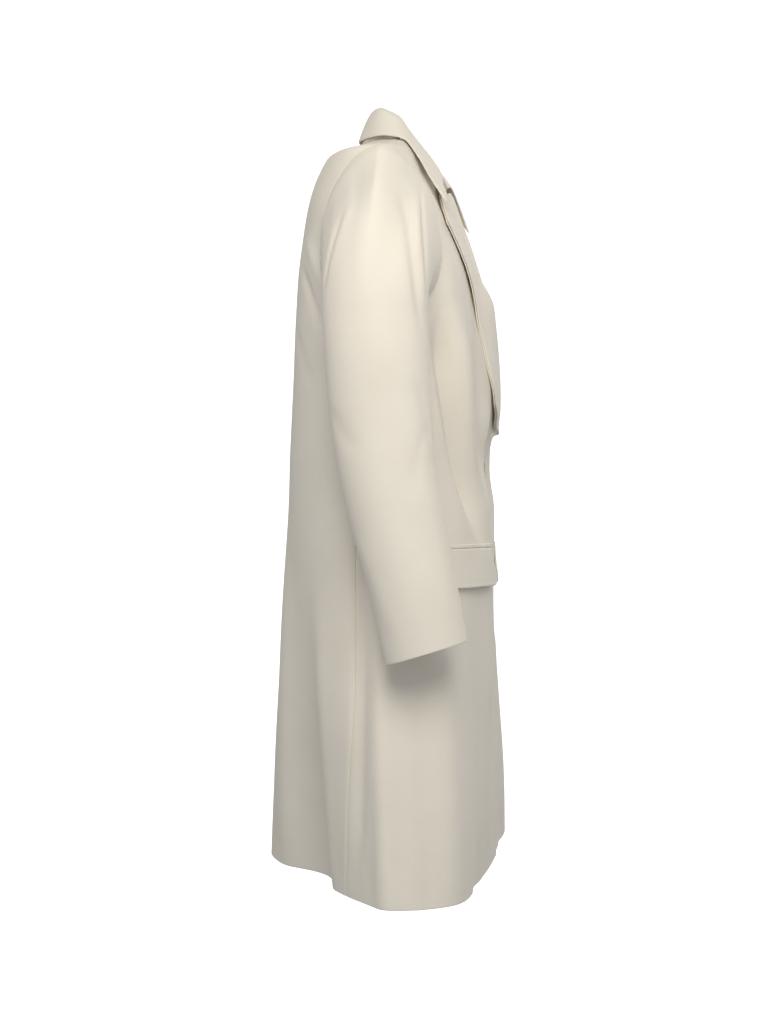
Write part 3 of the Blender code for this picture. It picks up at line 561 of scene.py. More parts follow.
def outer_edge(z, column):
    """The fraction of the half girth where a panel ends: side seam, armhole or shoulder seam."""
    if z < ARMHOLE_BOTTOM_Z:
        return float(read(SIDE_SEAM, "at", z))
    if z < SHOULDER_END_Z:
        return float(at_depth(read(ARMHOLE, column, z), z))
    return float(at_depth(SHOULDER_LINE_Y, z))


def linear(hex_colour):
    """The linear RGBA of an sRGB hex colour."""
    channels = [int(hex_colour[i : i + 2], 16) / 255 for i in (1, 3, 5)]
    return [c / 12.92 if c <= 0.04045 else ((c + 0.055) / 1.055) ** 2.4 for c in channels] + [1.0]


def feed(node, **inputs):
    """Fills a node's inputs: one given as a node's output is linked, anything else is set. An input
    with no name of its own is i and its number."""
    for name, value in inputs.items():
        numbered = name[0] == "i" and name[1:].isdigit()
        socket = node.inputs[int(name[1:]) if numbered else name.replace("_", " ")]
        if isinstance(value, bpy.types.NodeSocket):
            node.id_data.links.new(value, socket)
        else:
            socket.default_value = value


def add_node(tree, kind, output, settings=(), **inputs):
    """The named output of a new node with these settings and inputs."""
    node = tree.nodes.new("ShaderNode" + kind)
    for name, value in dict(settings).items():
        setattr(node, name, value)
    feed(node, **inputs)
    return node.outputs[output]


def new_material(name):
    """A material, what adds nodes to it, and its shader."""
    material = bpy.data.materials.new(name)
    material.use_nodes = True
    tree = material.node_tree
    return material, partial(add_node, tree), tree.nodes["Principled BSDF"]


def wool_coating():
    """Ivory wool coating, woven as a fine twill, fulled and cropped: the nap hides most of the
    weave, breaks up highlights and catches grazing light. Pressed edges lie a little smoother."""
    material, add, shader = new_material("fulled_wool_coating_ivory")
    cut = add("Attribute", "Vector", {"attribute_name": "cut"})
    pressed = add("Attribute", "Fac", {"attribute_name": "pressed"})
    clouds = add("TexNoise", "Fac", Vector=cut, Scale=14.0, Detail=3.0, Roughness=0.55)
    nap = add("TexNoise", "Fac", Vector=cut, Scale=900.0, Detail=4.0, Roughness=0.7)
    slant = (0, 0, math.radians(28))
    drawn = add("Mapping", "Vector", Vector=cut, Rotation=slant, Scale=(1.0, 0.25, 1.0))
    hairs = add("TexNoise", "Fac", Vector=drawn, Scale=620.0, Detail=3.0, Roughness=0.6)
    bands = {"wave_type": "BANDS", "bands_direction": "DIAGONAL"}
    pitch = 1 / TWILL_PITCH / 20
    twill = add("TexWave", "Fac", bands, Vector=cut, Scale=pitch, Distortion=3.0, Detail=2.0)
    mix = {"data_type": "RGBA"}
    ends = {"A": linear(WOOL_DARKER), "B": linear(WOOL_LIGHTER)}
    tone = add("Mix", "Result", mix, Factor=clouds, **ends)
    fibres = add("MapRange", "Result", Value=nap, To_Min=0.90, To_Max=1.08)
    mix["blend_type"] = "MULTIPLY"
    shaded = add("Mix", "Result", mix, Factor=1.0, A=tone, B=fibres)
    sums = {"operation": "MULTIPLY_ADD"}
    loose = add("Math", "Value", sums, i0=hairs, i1=0.8, i2=nap)
    woven = add("Math", "Value", sums, i0=twill, i1=0.25, i2=loose)
    flatter = add("MapRange", "Result", Value=pressed, To_Min=0.35, To_Max=0.18)
    bump = add("Bump", "Normal", Height=woven, Distance=0.00025, Strength=flatter)
    feed(shader, Base_Color=shaded, Normal=bump, Roughness=0.92, Specular_IOR_Level=0.25)
    feed(shader, Sheen_Weight=0.22, Sheen_Roughness=0.45, Sheen_Tint=linear(WOOL_NAP))
    return material


def turned_button():
    """A cast polyester button, turned and tumbled: faint clouds in it and a low satin shine."""
    material, add, shader = new_material("turned_polyester_button_ivory")
    place = add("TexCoord", "Object")
    clouds = add("TexNoise", "Fac", Vector=place, Scale=180.0, Detail=3.0, Distortion=1.5)
    ends = {"A": linear("#CDBF9F"), "B": linear("#E2D9C4")}
    tone = add("Mix", "Result", {"data_type": "RGBA"}, Factor=clouds, **ends)
    feed(shader, Base_Color=tone, Roughness=0.34, Coat_Weight=0.15, Coat_Roughness=0.25)
    return material


def plain(name, colour, roughness, emission=0.0):
    """One even colour: spun thread, matt and fine, or paper that gives its own light."""
    material, _, shader = new_material(name)
    feed(shader, Base_Color=linear(colour), Roughness=roughness)
    feed(shader, Emission_Color=linear(colour), Emission_Strength=emission)
    return material


def denser(values, counts):
    """The values with each step between them cut into its own number of equal parts."""
    parts = [np.linspace(a, b, n, endpoint=False) for a, b, n in zip(values, values[1:], counts)]
    return np.r_[np.concatenate(parts), values[-1]]


def edged(values):
    """The values with a few more close to either end, to round the edge of the cloth."""
    steps = np.array(EDGE_STEPS)
    start = values[0] + (values[1] - values[0]) * steps
    end = values[-1] + (values[-2] - values[-1]) * steps[::-1]
    return np.r_[values[0], start, values[1:-1], end, values[-1]]


def edged_steps(start, end, count):
    return edged(np.linspace(start, end, count + 1))


def woven_rows(rows, place):
    """The rows of a panel, dense enough for its cloth; place gives a row's points."""
    ends = np.stack([place(z) for z in rows])
    gaps = steps_of(ends).max(axis=-1)
    return edged(denser(rows, np.maximum(1, np.ceil(gaps / WEAVE_STEP).astype(int))))


def edge_distance(points, valid):
    """How far along the cloth each point lies from the nearest edge of its panel."""
    nearest = np.full(valid.shape, 1.0)
    for axis in (0, 1):
        gaps = steps_of(points, axis)
        both = valid[1:] & valid[:-1] if axis == 0 else valid[:, 1:] & valid[:, :-1]
        run = np.insert(np.cumsum(np.where(both, gaps, 0), axis=axis), 0, 0, axis=axis)
        nearest = np.minimum(nearest, np.minimum(run, run.max(axis=axis, keepdims=True) - run))
    return nearest


def cloth_wall(name, middle, lift, thickness, start, valid=None, hem=None, sewn=None):
    """A closed wall of cloth round a grid of middle points, with rounded edges.

    lift holds the outward normals, start is where its weave starts, and valid says which points are
    cloth. hem is how much thicker the cloth is inwards, and sewn how far it sinks."""
    half = thickness / 2
    valid = np.ones(middle.shape[:2], bool) if valid is None else valid
    from_edge = edge_distance(np.where(valid[..., None], middle, 0), valid)
    fullness = np.sqrt(np.clip(1 - (1 - np.clip(from_edge / half, 0, 1)) ** 2, 0.01, 1))
    sink = np.zeros(valid.shape) if sewn is None else sewn
    inside = half if hem is None else half + hem
    outer = middle + lift * (half * fullness - sink)[..., None]
    inner = middle - lift * (inside * fullness + sink)[..., None]
    index = np.full(valid.shape, -1)
    count = int(valid.sum())
    index[valid] = np.arange(count)
    corners = (index[:-1, :-1], index[:-1, 1:], index[1:, 1:], index[1:, :-1])
    quads = np.stack([c.ravel() for c in corners], -1)
    quads = quads[(quads >= 0).all(axis=1)]
    edges = np.concatenate([quads[:, [k, (k + 1) % 4]] for k in range(4)])
    keys = edges[:, 0] * count + edges[:, 1]
    rim = edges[~np.isin(keys, edges[:, 1] * count + edges[:, 0])]
    rim = np.stack([rim[:, 1], rim[:, 0], rim[:, 0] + count, rim[:, 1] + count], -1)
    faces = np.concatenate([quads, quads[:, ::-1] + count, rim])
    points = np.concatenate([outer[valid], inner[valid]])
    a, b, c, d = (points[faces[:, k]] for k in range(4))
    if np.sum(np.cross(c - a, d - b) * (a + c)) < 0:
        faces = faces[:, ::-1]
    data = new_mesh(name, points, faces.tolist())
    add_layer(data, "cut", "FLOAT_VECTOR", "vector", flat_cut(middle, start)[valid])
    add_layer(data, "pressed", "FLOAT", "value", np.exp(-from_edge[valid] / PRESSED_WIDTH))
    return dress(name, data, WOOL)


def new_mesh(name, points, faces):
    data = bpy.data.meshes.new(name)
    data.from_pydata(points.tolist(), [], faces)
    data.shade_smooth()
    return data


def new_object(name, data):
    obj = bpy.data.objects.new(name, data)
    bpy.context.scene.collection.objects.link(obj)
    return obj


def add_layer(data, name, kind, field, values):
    """Values that a wall's material reads, the same on its outer and its inner face."""
    layer = data.attributes.new(name, kind, "POINT")
    values = np.concatenate([values, values])
    layer.data.foreach_set(field, np.ascontiguousarray(values, np.float32).ravel())


def dress(name, data, material):
    """The visual piece for a CAD node of the same name, in its material and on the coat's body."""
    obj = new_object(name + "_cloth", data)
    obj.data.materials.append(material)
    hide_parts(name)
    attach(obj, "root")
    return obj


def flat_cut(points, start):
    """The cloth's own flat coordinates: metres across and metres along, for its weave."""
    across = np.insert(np.cumsum(steps_of(points, axis=1), axis=1), 0, 0, axis=1)
    along = np.r_[0, np.cumsum(steps_of(points[:, 0]))]
    along = np.broadcast_to(along[:, None], across.shape)
    return np.stack([across + start, along, np.full(across.shape, start)], -1)


def bump_at(distance, width):
    """One at no distance, falling away smoothly over the width."""
    return np.exp(-((distance / width) ** 2))


def seam_sink(distance):
    """A sewn edge: the cloth dips into the seam and rides over the turnings beside it."""
    dip = SEAM_DEPTH * bump_at(distance, SEAM_WIDTH)
    return dip - SEAM_RIDGE * bump_at(distance - 3.2 * SEAM_WIDTH, 1.6 * SEAM_WIDTH)


def side_seams(at, start, end, girth):
    """The sunk cloth along both side edges of a panel."""
    return seam_sink((at - start) * girth) + seam_sink((end - at) * girth)


def hem_line(above, along):
    """The blind-stitched top of a turned hem: a faint uneven groove, and small pulls above it."""
    from_line = above - HEM_TURN
    groove = HEM_GROOVE * bump_at(from_line + 0.0015 * np.sin(along * 31), HEM_GROOVE_WIDTH)
    pulls = HEM_PULL * np.sin(along * 210 + 1.3 * np.sin(along * 57))
    return groove + pulls * bump_at(from_line, HEM_PULL_REACH)


def hem_fullness(above):
    """How much thicker the cloth is inwards where its hem is turned up."""
    return HEM_FULLNESS * smooth_step((HEM_TURN - above) / HEM_FADE)


def wall_between(name, outer, inner, start, **marks):
    """A wall of cloth whose two faces lie on these two grids."""
    middle, lift = (outer + inner) / 2, unit(outer - inner)
    return cloth_wall(name, middle, lift, CLOTH, start, **marks)


def laid_on(place, at, height, lift=0.0):
    """Middle points and normals of a piece that lies on a surface; place gives its points."""
    middle = place(at, height, lift)
    return middle, place(at, height, lift + 1.0) - middle


def level_rows(rows, side, column):
    """Dense rows of a body panel, spaced along its middle and its outer edge."""

    def place(z):
        return on_body(side, np.array([0.25, 0.75, outer_edge(z, column)]), z, 0)

    return woven_rows(rows, place)


def make_back(side):
    """Half the back, from the centre seam to the side seam, the armhole and the shoulder seam."""
    rows = level_rows(BACK_ROWS, side, "back_y")
    steps = edged_steps(0, 1, BACK_STEPS)
    seam = SEWN_GAP / 2 / half_girth(rows)[:, None]
    edge = np.array([outer_edge(z, "back_y") for z in rows])[:, None]
    at = seam + (edge - 2 * seam) * steps
    z = np.broadcast_to(rows[:, None], at.shape)
    middle, lift = laid_on(partial(on_body, side), at, z)
    start = BACK_CUT + side
    sewn = side_seams(at, at[:, :1], at[:, -1:], half_girth(z))
    sewn += hem_line(z - HEM_Z, flat_cut(middle, start)[..., 0])
    marks = {"hem": hem_fullness(z - HEM_Z), "sewn": sewn}
    obj = cloth_wall(f"back_{SIDES[side][0]}", middle, lift, CLOTH, start, **marks)


def front_lift(side, past, z):
    """How far the right front rides out over the left one and its lapel."""
    roll = read(LAPEL, "past_centre", z)
    stand = read(LAPEL, "stand", z) * np.where(z > BREAK_Z, 1, 0)
    stand = stand * smooth_step(1 + (past - roll) / 0.030) * smooth_step((0.010 - z) / 0.030)
    if side == LEFT:
        return stand
    # lower below the break, higher over the left lapel, and back on the body above the overlap
    upper = smooth_step((z + 0.415) / 0.075) * (1 - smooth_step((z + 0.215) / 0.060))
    height = LOWER_FRONT_LIFT + (UPPER_FRONT_LIFT - LOWER_FRONT_LIFT) * upper
    height = height * (1 - smooth_step((z + 0.190) / 0.050))
    return stand + height * smooth_step((past + roll + 0.072) / 0.060)


def lapel_section(s, radius, curl, offset):
    """Across the roll: how far past the roll line, and how high, cloth lies that was turned back
    there. It curls round the radius until it lies back, and the offset is to its own outer side."""
    radius = radius / curl
    turned = np.clip(s / radius, 0, math.pi * np.minimum(1, curl * 2))
    beyond = np.maximum(s - turned * radius, 0)
    before = np.minimum(s, 0)
    past = (radius - offset) * np.sin(turned) + before + beyond * np.cos(turned)
    high = radius - (radius - offset) * np.cos(turned) + beyond * np.sin(turned)
    return past, high


def lapel_row(side, z, offset, inside=()):
    """One row of the lapel: its points from inside the roll line to the outer edge."""
    roll, width, drop, curl, stand = read_all(LAPEL_AND_EDGE, z)
    radius = ROLL_RADIUS + stand * 0.25
    turn = min(math.pi * radius / curl, width * 0.7)
    s = np.r_[
        inside,
        np.linspace(0, turn, LAPEL_TURN_STEPS + 1),
        edged_steps(turn, width, LAPEL_FLAT_STEPS)[len(EDGE_STEPS) + 1 :],
    ]
    past, high = lapel_section(s, radius, curl, offset)
    high = high - FACING_INSIDE_DROP * smooth_step(-s / 0.006)
    back = np.clip((s - turn) / max(width - turn, 1e-6), 0, 1)
    settled = 2 * ROLL_RADIUS - offset
    settling = smooth_step(back * 1.5) * smooth_step((curl - 0.80) / 0.19)
    high = np.where(s > turn, high + (settled - high) * settling, high)
    wave = LAPEL_WAVE * back * np.sin(z * 34 + 1.1 + side) * smooth_step((z - BREAK_Z) / 0.05)
    low = z - drop * back
    lift = high + wave + front_lift(side, np.minimum(roll + past, roll), np.full(len(s), z))
    return on_body(side, at_past_centre(roll + past, low), low, lift)


def make_front(side):
    """One front, from the side seam over the roll line to the lapel's outer edge."""
    rows = level_rows(FRONT_ROWS, side, "front_y")
    body_steps = edged_steps(0, 1, FRONT_STEPS)
    count = len(body_steps)
    outer, inner, valid, sewn, above = [], [], [], [], []
    for z in rows:
        seam = SEWN_GAP / 2 / half_girth(z)
        start = outer_edge(z, "front_y") + seam
        if z <= GORGE_Z:
            end = at_past_centre(float(read(LAPEL_AND_EDGE, "past_centre", z)), z)
        else:
            end = neck_edge(z)
        end = max(end, start + NARROWEST_PANEL / half_girth(z))
        at = start + (end - start) * body_steps
        past = (at - 1) * half_girth(z)
        lift = front_lift(side, past, np.full(count, z))
        sink = seam_sink((at - start) * half_girth(z))
        sink += hem_line(z - HEM_Z, past + 2 + side)
        folds = [lapel_row(side, z, offset)[1:] for offset in (CLOTH / 2, -CLOTH / 2)]
        outer.append(np.concatenate([on_body(side, at, z, lift + CLOTH / 2), folds[0]]))
        inner.append(np.concatenate([on_body(side, at, z, lift - CLOTH / 2), folds[1]]))
        valid.append(np.r_[np.full(count, True), np.full(len(folds[0]), z <= GORGE_Z + 1e-9)])
        sewn.append(np.r_[sink, np.zeros(len(folds[0]))])
        above.append(np.full(count + len(folds[0]), z - HEM_Z))
    outer, inner, valid, sewn, above = map(np.stack, (outer, inner, valid, sewn, above))
    marks = {"valid": valid, "hem": hem_fullness(above), "sewn": sewn}
    obj = wall_between(f"front_{SIDES[side][0]}", outer, inner, FRONT_CUT + side, **marks)


def make_facing(side):
    """The facing, under the lapel and a little way inside the roll line."""
    rows = level_rows([z for z in FRONT_ROWS if BREAK_Z <= z <= GORGE_Z], side, "front_y")
    inside = edged_steps(-FACING_INSIDE, 0, FACING_STEPS)[: -len(EDGE_STEPS) - 1]
    outer, inner = (
        np.stack([lapel_row(side, z, offset - FACING_OFFSET, inside) for z in rows])
        for offset in (CLOTH / 2, -CLOTH / 2)
    )
    obj = wall_between(f"facing_{SIDES[side][0]}", outer, inner, FACING_CUT + side)


def bend(start, start_pull, end_pull, end, steps):
    """Points of a cubic curve from start to end, drawn towards its two pulls."""
    t = np.asarray(steps)[:, None]
    near = (1 - t) ** 3 * start + 3 * t * (1 - t) ** 2 * start_pull
    return near + 3 * t * t * (1 - t) * end_pull + t**3 * end


def make_collar():
    """The collar: up the stand from the neck seam, over the roll and down the fall."""
    half = np.array(COLLAR) * MM
    table = np.concatenate([half[:0:-1], half * np.tile([-1, 1, 1], 3)])
    stations = np.arange(len(table), dtype=float)
    places = edged_steps(0, len(table) - 1, COLLAR_STEPS)
    stand_steps = edged_steps(0, 1, STAND_STEPS)[: -len(EDGE_STEPS) - 1]
    fall_steps = np.r_[0, edged_steps(0, 1, FALL_STEPS)[len(EDGE_STEPS) + 1 :]]
    middle = []
    for place in places:
        row = np.array([float(eased(place, stations, table[:, k])) for k in range(9)])
        seam, roll, edge = row[:3], row[3:6], row[6:]
        seam = seam + COLLAR_SEAT * smooth_step(seam[1] / 0.050) * np.sign([seam[0], 1, 1])
        out = unit((edge - roll) * (1, 1, 0))
        rise = np.array([0, 0, (roll[2] - seam[2]) * 0.5])
        stand = bend(seam, seam + rise, roll - out * 0.006, roll, stand_steps)
        edge_pull = edge + (roll - edge) * 0.45 + out * 0.004
        fall = bend(roll, roll + out * 0.008, edge_pull, edge, fall_steps)
        middle.append(np.concatenate([stand, fall]))
    middle = np.stack(middle)
    lift = normals_of(middle, np.cross(np.gradient(middle, axis=0), np.gradient(middle, axis=1)))
    obj = cloth_wall("collar", middle, lift, DOUBLED_CLOTH, COLLAR_CUT)


def armhole(side, around):
    """Points and leaving directions round the armhole; around runs from the bottom up the back."""
    up = (1 - np.cos(np.linspace(0, math.pi, ARMHOLE_SKIN_STEPS + 1))) / 2
    heights = ARMHOLE_BOTTOM_Z + (SHOULDER_END_Z - ARMHOLE_BOTTOM_Z) * up
    back = at_depth(read(ARMHOLE, "back_y", heights), heights)
    front = at_depth(read(ARMHOLE, "front_y", heights), heights)
    places = np.r_[back, front[::-1][1:]]
    levels = np.r_[heights, heights[::-1][1:]]
    base = on_body(side, places, levels, 0)
    normal = (on_body(side, places, levels, SLEEVE_SEAT) - base) / SLEEVE_SEAT
    crown = smooth_step((levels + 0.060) / 0.026)[:, None]
    seat = base + normal * (SLEEVE_SEAT + CROWN_SEAT * crown)
    length = np.r_[0, np.cumsum(steps_of(seat))]
    top = len(heights) - 1
    fraction = np.interp(length, [0, length[top], length[-1]], [0, 0.5, 1])
    inward = np.cross(unit(np.gradient(seat, axis=0)), normal)
    inward *= np.sign(np.sum(inward * (seat.mean(axis=0) - seat)))

    def read_at(values):
        return np.stack([np.interp(around, fraction, values[:, k]) for k in range(3)], -1)

    return read_at(seat), read_at(normal), read_at(inward)


def round_off(loop, reach=8):
    """A closed loop of values, averaged over its neighbours so that nothing in it turns sharply."""
    weights = np.hanning(2 * reach + 3)[1:-1]
    ring = sum(w * np.roll(loop[:-1], k - reach, axis=0) for k, w in enumerate(weights))
    return np.concatenate([ring, ring[:1]]) / weights.sum()


def sleeve_ring(side, around, z):
    """One ring of the arm; the left one hangs further back the lower it is."""
    x, y, half_width, half_depth, rise = read_all(SLEEVE, z)
    sign = SIDES[side][1]
    if side == LEFT:
        y = y + LEFT_SLEEVE_BACK * smooth_step((UPPER_ARM_Z - z) / (UPPER_ARM_Z - CUFF_Z))
    angle = 2 * math.pi * around
    depth = half_depth * np.sin(angle)
    across = x - half_width * np.cos(angle)
    return np.stack([sign * across, y + depth, z - rise * depth], -1)


def sleeve_skin(side):
    """The sleeve from the armhole (height 0) to the upper arm (1) and the cuff (2)."""
    around = np.linspace(0, 1, SLEEVE_SKIN_STEPS + 1)
    seat, normal, inward = armhole(side, around)
    seat, normal, inward = round_off(seat, 2), round_off(normal), round_off(inward)
    arm = sleeve_ring(side, around, UPPER_ARM_Z)
    crown = ((1 - np.cos(2 * math.pi * around)) / 2)[:, None]
    # the head leaves the seam outwards and is drawn in over the crown
    leave = unit(normal * (0.55 - 0.25 * crown) + inward * (1.1 * crown - 0.05))
    span = np.linalg.norm(arm - seat, axis=1, keepdims=True)
    first_pull = seat + leave * (span * 0.10 + SLEEVE_HEAD_REACH * crown)
    second_pull = arm + span * (0, 0, 0.45)
    steps = np.linspace(0, 1, CAP_SKIN_STEPS + 1)
    cap = bend(seat, first_pull, second_pull, arm, steps[:, None])
    down = np.linspace(0, 1, ARM_SKIN_STEPS + 1)[1:]
    levels = UPPER_ARM_Z + (CUFF_Z - UPPER_ARM_Z) * down
    points = np.concatenate([cap, [sleeve_ring(side, around, z) for z in levels]])
    heights = np.r_[steps, 1 + down]
    # a ring's normals turn through its seam: one more column at either end
    ringed = np.concatenate([points[:, -2:-1], points, points[:, 1:2]], axis=1)
    centre = points[:, :-1].mean(axis=1)[:, None]
    normals = normals_of(ringed, ringed - centre)[:, 1:-1]
    girth = steps_of(points, axis=1).sum(axis=1)[:, None]
    across, along = np.meshgrid(around, heights)
    rise = crease_rise(SLEEVE_CREASES, side, across, along, girth, SLEEVE_LENGTH)
    rise += wander(across * girth, along * SLEEVE_LENGTH, 2.3 + side)
    rise *= smooth_step(np.minimum(across, 1 - across) / 0.06) * smooth_step(along / 0.10)
    return Skin(heights, points + normals * rise[..., None], normals)


def make_sleeve(side):
    """The under and the top sleeve, from the armhole to the cuff."""
    skin = sleeve_skin(side)
    seam = SEWN_GAP / 2 / SLEEVE_GIRTH
    under = (UNDER_SLEEVE_FROM + seam, UNDER_SLEEVE_TO - seam, UNDER_SLEEVE_STEPS, "under")
    top = (UNDER_SLEEVE_TO + seam, 1 + UNDER_SLEEVE_FROM - seam, TOP_SLEEVE_STEPS, "top")
    for start, end, steps, part in (under, top):
        across = edged_steps(start, end, steps)

        def place(height):
            return skin.place(across % 1.0, np.full(across.shape, height), 0.0)

        around, height = np.meshgrid(across, woven_rows(SLEEVE_ROWS, place))
        middle, lift = laid_on(skin.place, around % 1.0, height)
        cut_start = SLEEVE_CUT + side + 2 * (part == "top")
        along_cuff, head, _ = np.moveaxis(flat_cut(middle, cut_start), -1, 0)
        sewn = SLEEVE_SEAM_SHARE * side_seams(around, start, end, SLEEVE_GIRTH)
        sewn += SLEEVE_HEAD_SHARE * seam_sink(head)
        sewn -= SLEEVE_HEAD_RIDGE * bump_at(head - SLEEVE_HEAD_RIDGE_IN, SLEEVE_HEAD_RIDGE_WIDTH)
        above_cuff = (2.0 - height) * SLEEVE_LENGTH
        sewn += hem_line(above_cuff, along_cuff)
        marks = {"hem": hem_fullness(above_cuff), "sewn": sewn}
        name = f"sleeve_{part}_{SIDES[side][0]}"
        obj = cloth_wall(name, middle, lift, CLOTH, cut_start, **marks)


def make_pocket(side):
    """The welt and, hanging from under it, the flap with its lower corners rounded."""
    name = SIDES[side][0]
    across = edged_steps(FLAP_FRONT - FLAP_WIDTH, FLAP_FRONT, FLAP_STEPS[0])
    down = edged_steps(0, 1, FLAP_STEPS[1])
    past, drop = np.meshgrid(across, down)
    from_end = np.minimum(past - past.min(), past.max() - past)
    inset = 1 - np.clip(from_end / FLAP_CORNER, 0, 1)
    rounded = FLAP_CORNER * (1 - np.sqrt(1 - inset**2))
    z = FLAP_TOP_Z - drop * (FLAP_DEPTH - rounded)
    base = front_lift(side, past, z) + (CLOTH + DOUBLED_CLOTH) / 2 + SEAM + FLAP_STAND
    lift = base + FLAP_KICK * drop**1.5 * (1 + (past - past.min()) / FLAP_WIDTH)
    at = at_past_centre(past + FLAP_SLANT * drop, z)
    middle, normal = laid_on(partial(on_body, side), at, z, lift)
    to_edge = np.minimum(from_end, (1 - drop) * FLAP_DEPTH)
    groove = FLAP_GROOVE * bump_at(to_edge - FLAP_PRESS, FLAP_GROOVE_WIDTH)
    start = FLAP_CUT + side
    obj = cloth_wall(f"flap_{name}", middle, normal, DOUBLED_CLOTH, start, sewn=groove)
    rear, front = FLAP_FRONT - FLAP_WIDTH - WELT_PAST_FLAP, FLAP_FRONT + WELT_PAST_FLAP
    across = edged_steps(rear, front, WELT_STEPS[0])
    down = edged_steps(WELT_DEPTH, 0, WELT_STEPS[1])
    past, z = np.meshgrid(across, FLAP_TOP_Z + SEAM + down)
    lift = front_lift(side, past, z) + CLOTH / 2 + 2.4 * SEAM + WELT_THICKNESS / 2
    middle, normal = laid_on(partial(on_body, side), at_past_centre(past, z), z, lift)
    obj = cloth_wall(f"welt_{name}", middle, normal, WELT_THICKNESS, WELT_CUT + side)


def ring_faces(count, steps):
    """The faces between neighbouring rings of points."""
    faces = []
    for ring in range(0, (count - 1) * steps, steps):
        for k in range(steps):
            n = (k + 1) % steps
            faces.append((ring + k, ring + steps + k, ring + steps + n, ring + n))
    return faces


def lathe(profile, steps=72):
    """The closed surface of a profile of (radius, height) turned about +Z, its ends on the axis."""
    angle = np.linspace(0, 2 * math.pi, steps, endpoint=False)
    round_about = np.stack([np.cos(angle), np.sin(angle), np.zeros(steps)], -1)
    rings = [r * round_about + np.array([0, 0, h]) for r, h in profile[1:-1]]
    points = np.concatenate(rings + [[(0, 0, profile[0][1])], [(0, 0, profile[-1][1])]])
    top, bottom, last = len(points) - 2, len(points) - 1, (len(rings) - 1) * steps
    faces = ring_faces(len(rings), steps)
    for k in range(steps):
        n = (k + 1) % steps
        faces += [(top, k, n), (bottom, last + n, last + k)]
    return points, faces


def tube(path, across, radius, sides=10):
    """The closed surface of a round thread along a path that lies square to the vector."""
    up = np.cross(across, unit(np.gradient(path, axis=0)))
    angle = np.linspace(0, 2 * math.pi, sides, endpoint=False)[None, :, None]
    around = np.cos(angle) * np.array(across) + np.sin(angle) * up[:, None]
    points = (path[:, None] + radius * around).reshape(-1, 3)
    ends = [tuple(range(sides)), tuple(range(len(points) - 1, len(points) - 1 - sides, -1))]
    return points, ends + ring_faces(len(path), sides)


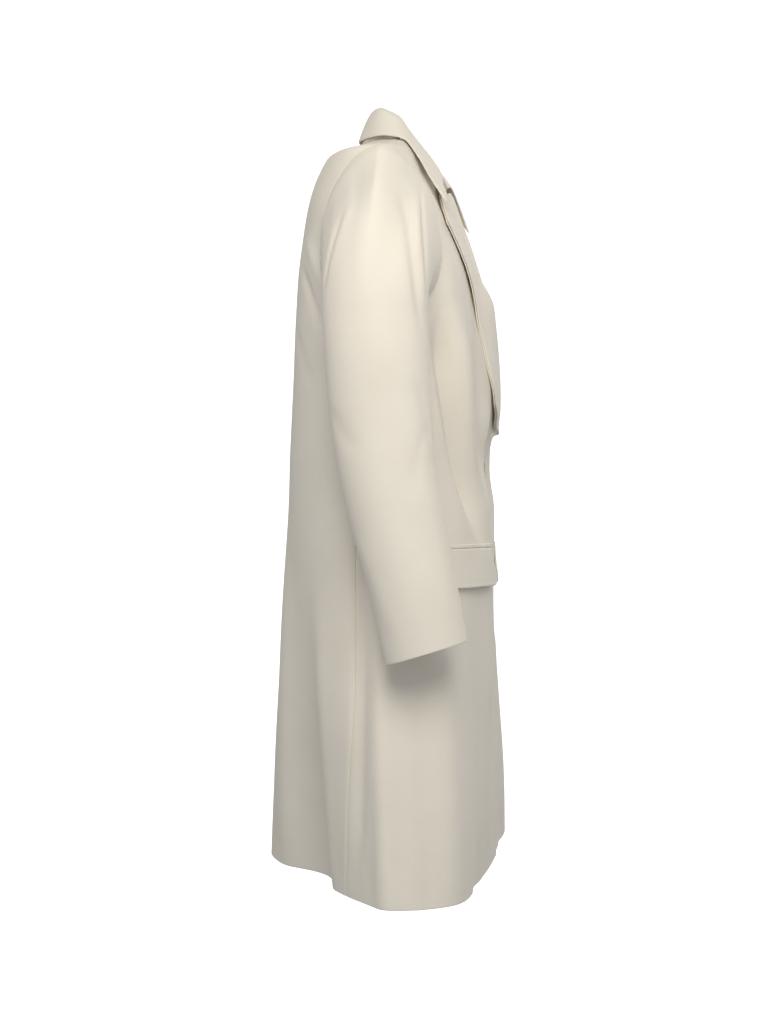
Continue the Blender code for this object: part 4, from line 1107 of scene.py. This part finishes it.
def make_button():
    """The turned button: a raised rim, a sunk middle with four holes, and its sewing thread."""
    lift = float(front_lift(RIGHT, np.array(0.0), np.array(BUTTON_Z)))
    seat = on_body(RIGHT, 1.0, BUTTON_Z, lift + CLOTH / 2 + 3 * SEAM + BUTTON_THICKNESS / 2)
    normal = on_body(RIGHT, 1.0, BUTTON_Z, 1.0) - on_body(RIGHT, 1.0, BUTTON_Z, 0.0)
    tilt = math.pi / 2 - math.asin(unit(normal)[2])
    profile = [(r * BUTTON_RADIUS, h * BUTTON_THICKNESS) for r, h in BUTTON_PROFILE]
    button = dress("button", new_mesh("button", *lathe(profile)), RESIN)
    button.location = seat
    button.rotation_euler = (tilt, 0, 0)
    for turn in range(THREAD_HOLES):
        angle = 2 * math.pi * (turn + 0.5) / THREAD_HOLES
        deep = 5 * BUTTON_THICKNESS
        bpy.ops.mesh.primitive_cylinder_add(vertices=24, radius=THREAD_HOLE_RADIUS, depth=deep)
        hole = bpy.context.object
        hole.location = [THREAD_HOLE_CIRCLE * c for c in (math.cos(angle), math.sin(angle), 0)]
        hole.parent = button
        cut = button.modifiers.new("thread_hole", "BOOLEAN")
        cut.object = hole
        bpy.context.view_layer.update()
        bpy.context.view_layer.objects.active = button
        bpy.ops.object.modifier_apply(modifier=cut.name)
        bpy.data.objects.remove(hole)
    for turn in (0, 1):
        angle = math.pi * (0.25 + 0.5 * turn)
        along = np.linspace(-1, 1, THREAD_POINTS)
        radius = THREAD_HOLE_CIRCLE * along
        high = THREAD_RISE + THREAD_OVER * turn - THREAD_DIVE * along**4
        path = np.stack([radius * math.cos(angle), radius * math.sin(angle), high], -1)
        across = (math.sin(angle), -math.cos(angle), 0.0)
        strand = new_mesh("button_thread", *tube(path, across, THREAD_RADIUS))
        thread = new_object(f"button_thread_{turn + 1}", strand)
        strand.materials.append(THREAD)
        thread.parent = button


def look_at(obj, target):
    away = np.array(target) - np.array(obj.location)
    flat = math.hypot(away[0], away[1])
    obj.rotation_euler = (math.pi / 2 + math.atan2(away[2], flat), 0, math.atan2(-away[0], away[1]))


def add_light(name, place, target, size, power, colour):
    data = bpy.data.lights.new(name, "AREA")
    data.shape = "DISK"
    data.size = size
    data.energy = power
    data.color = linear(colour)[:3]
    light = new_object(name, data)
    light.location = place
    look_at(light, target)


def set_the_scene():
    """A white studio: the camera level at the coat's right, ten degrees in front of its side."""
    scene = bpy.context.scene
    scene.view_settings.view_transform = "Standard"
    scene.world = bpy.data.worlds.new("studio_air")
    scene.world.use_nodes = True
    air = scene.world.node_tree.nodes["Background"]
    feed(air, Color=linear("#F4F6FA"), Strength=AIR_STRENGTH)
    bpy.ops.mesh.primitive_uv_sphere_add(
        segments=48, ring_count=24, radius=BACKDROP_RADIUS, location=(0, 0, BACKDROP_Z)
    )
    backdrop = bpy.context.object
    backdrop.name = "white_backdrop"
    backdrop.data.materials.append(plain("white_paper_backdrop", "#FFFFFF", 1.0, 1.0))
    for ray in ("diffuse", "glossy", "transmission", "shadow"):
        setattr(backdrop, "visible_" + ray, False)
    for light in STUDIO_LIGHTS:
        add_light(*light)
    lens = bpy.data.cameras.new("side_camera")
    lens.lens = CAMERA_LENS
    lens.sensor_width = 36
    lens.clip_end = 50
    camera = new_object("side_camera", lens)
    camera.location = CAMERA_PLACE
    camera.rotation_euler = (math.pi / 2, 0, math.radians(CAMERA_TURN))
    scene.camera = camera


WOOL = wool_coating()
RESIN = turned_button()
THREAD = plain("spun_polyester_thread_ivory", "#E6DCC6", 0.8)


def main():
    for side in SIDES:
        make_back(side)
        make_front(side)
        make_facing(side)
        make_sleeve(side)
        make_pocket(side)
    make_collar()
    make_button()
    set_the_scene()


main()
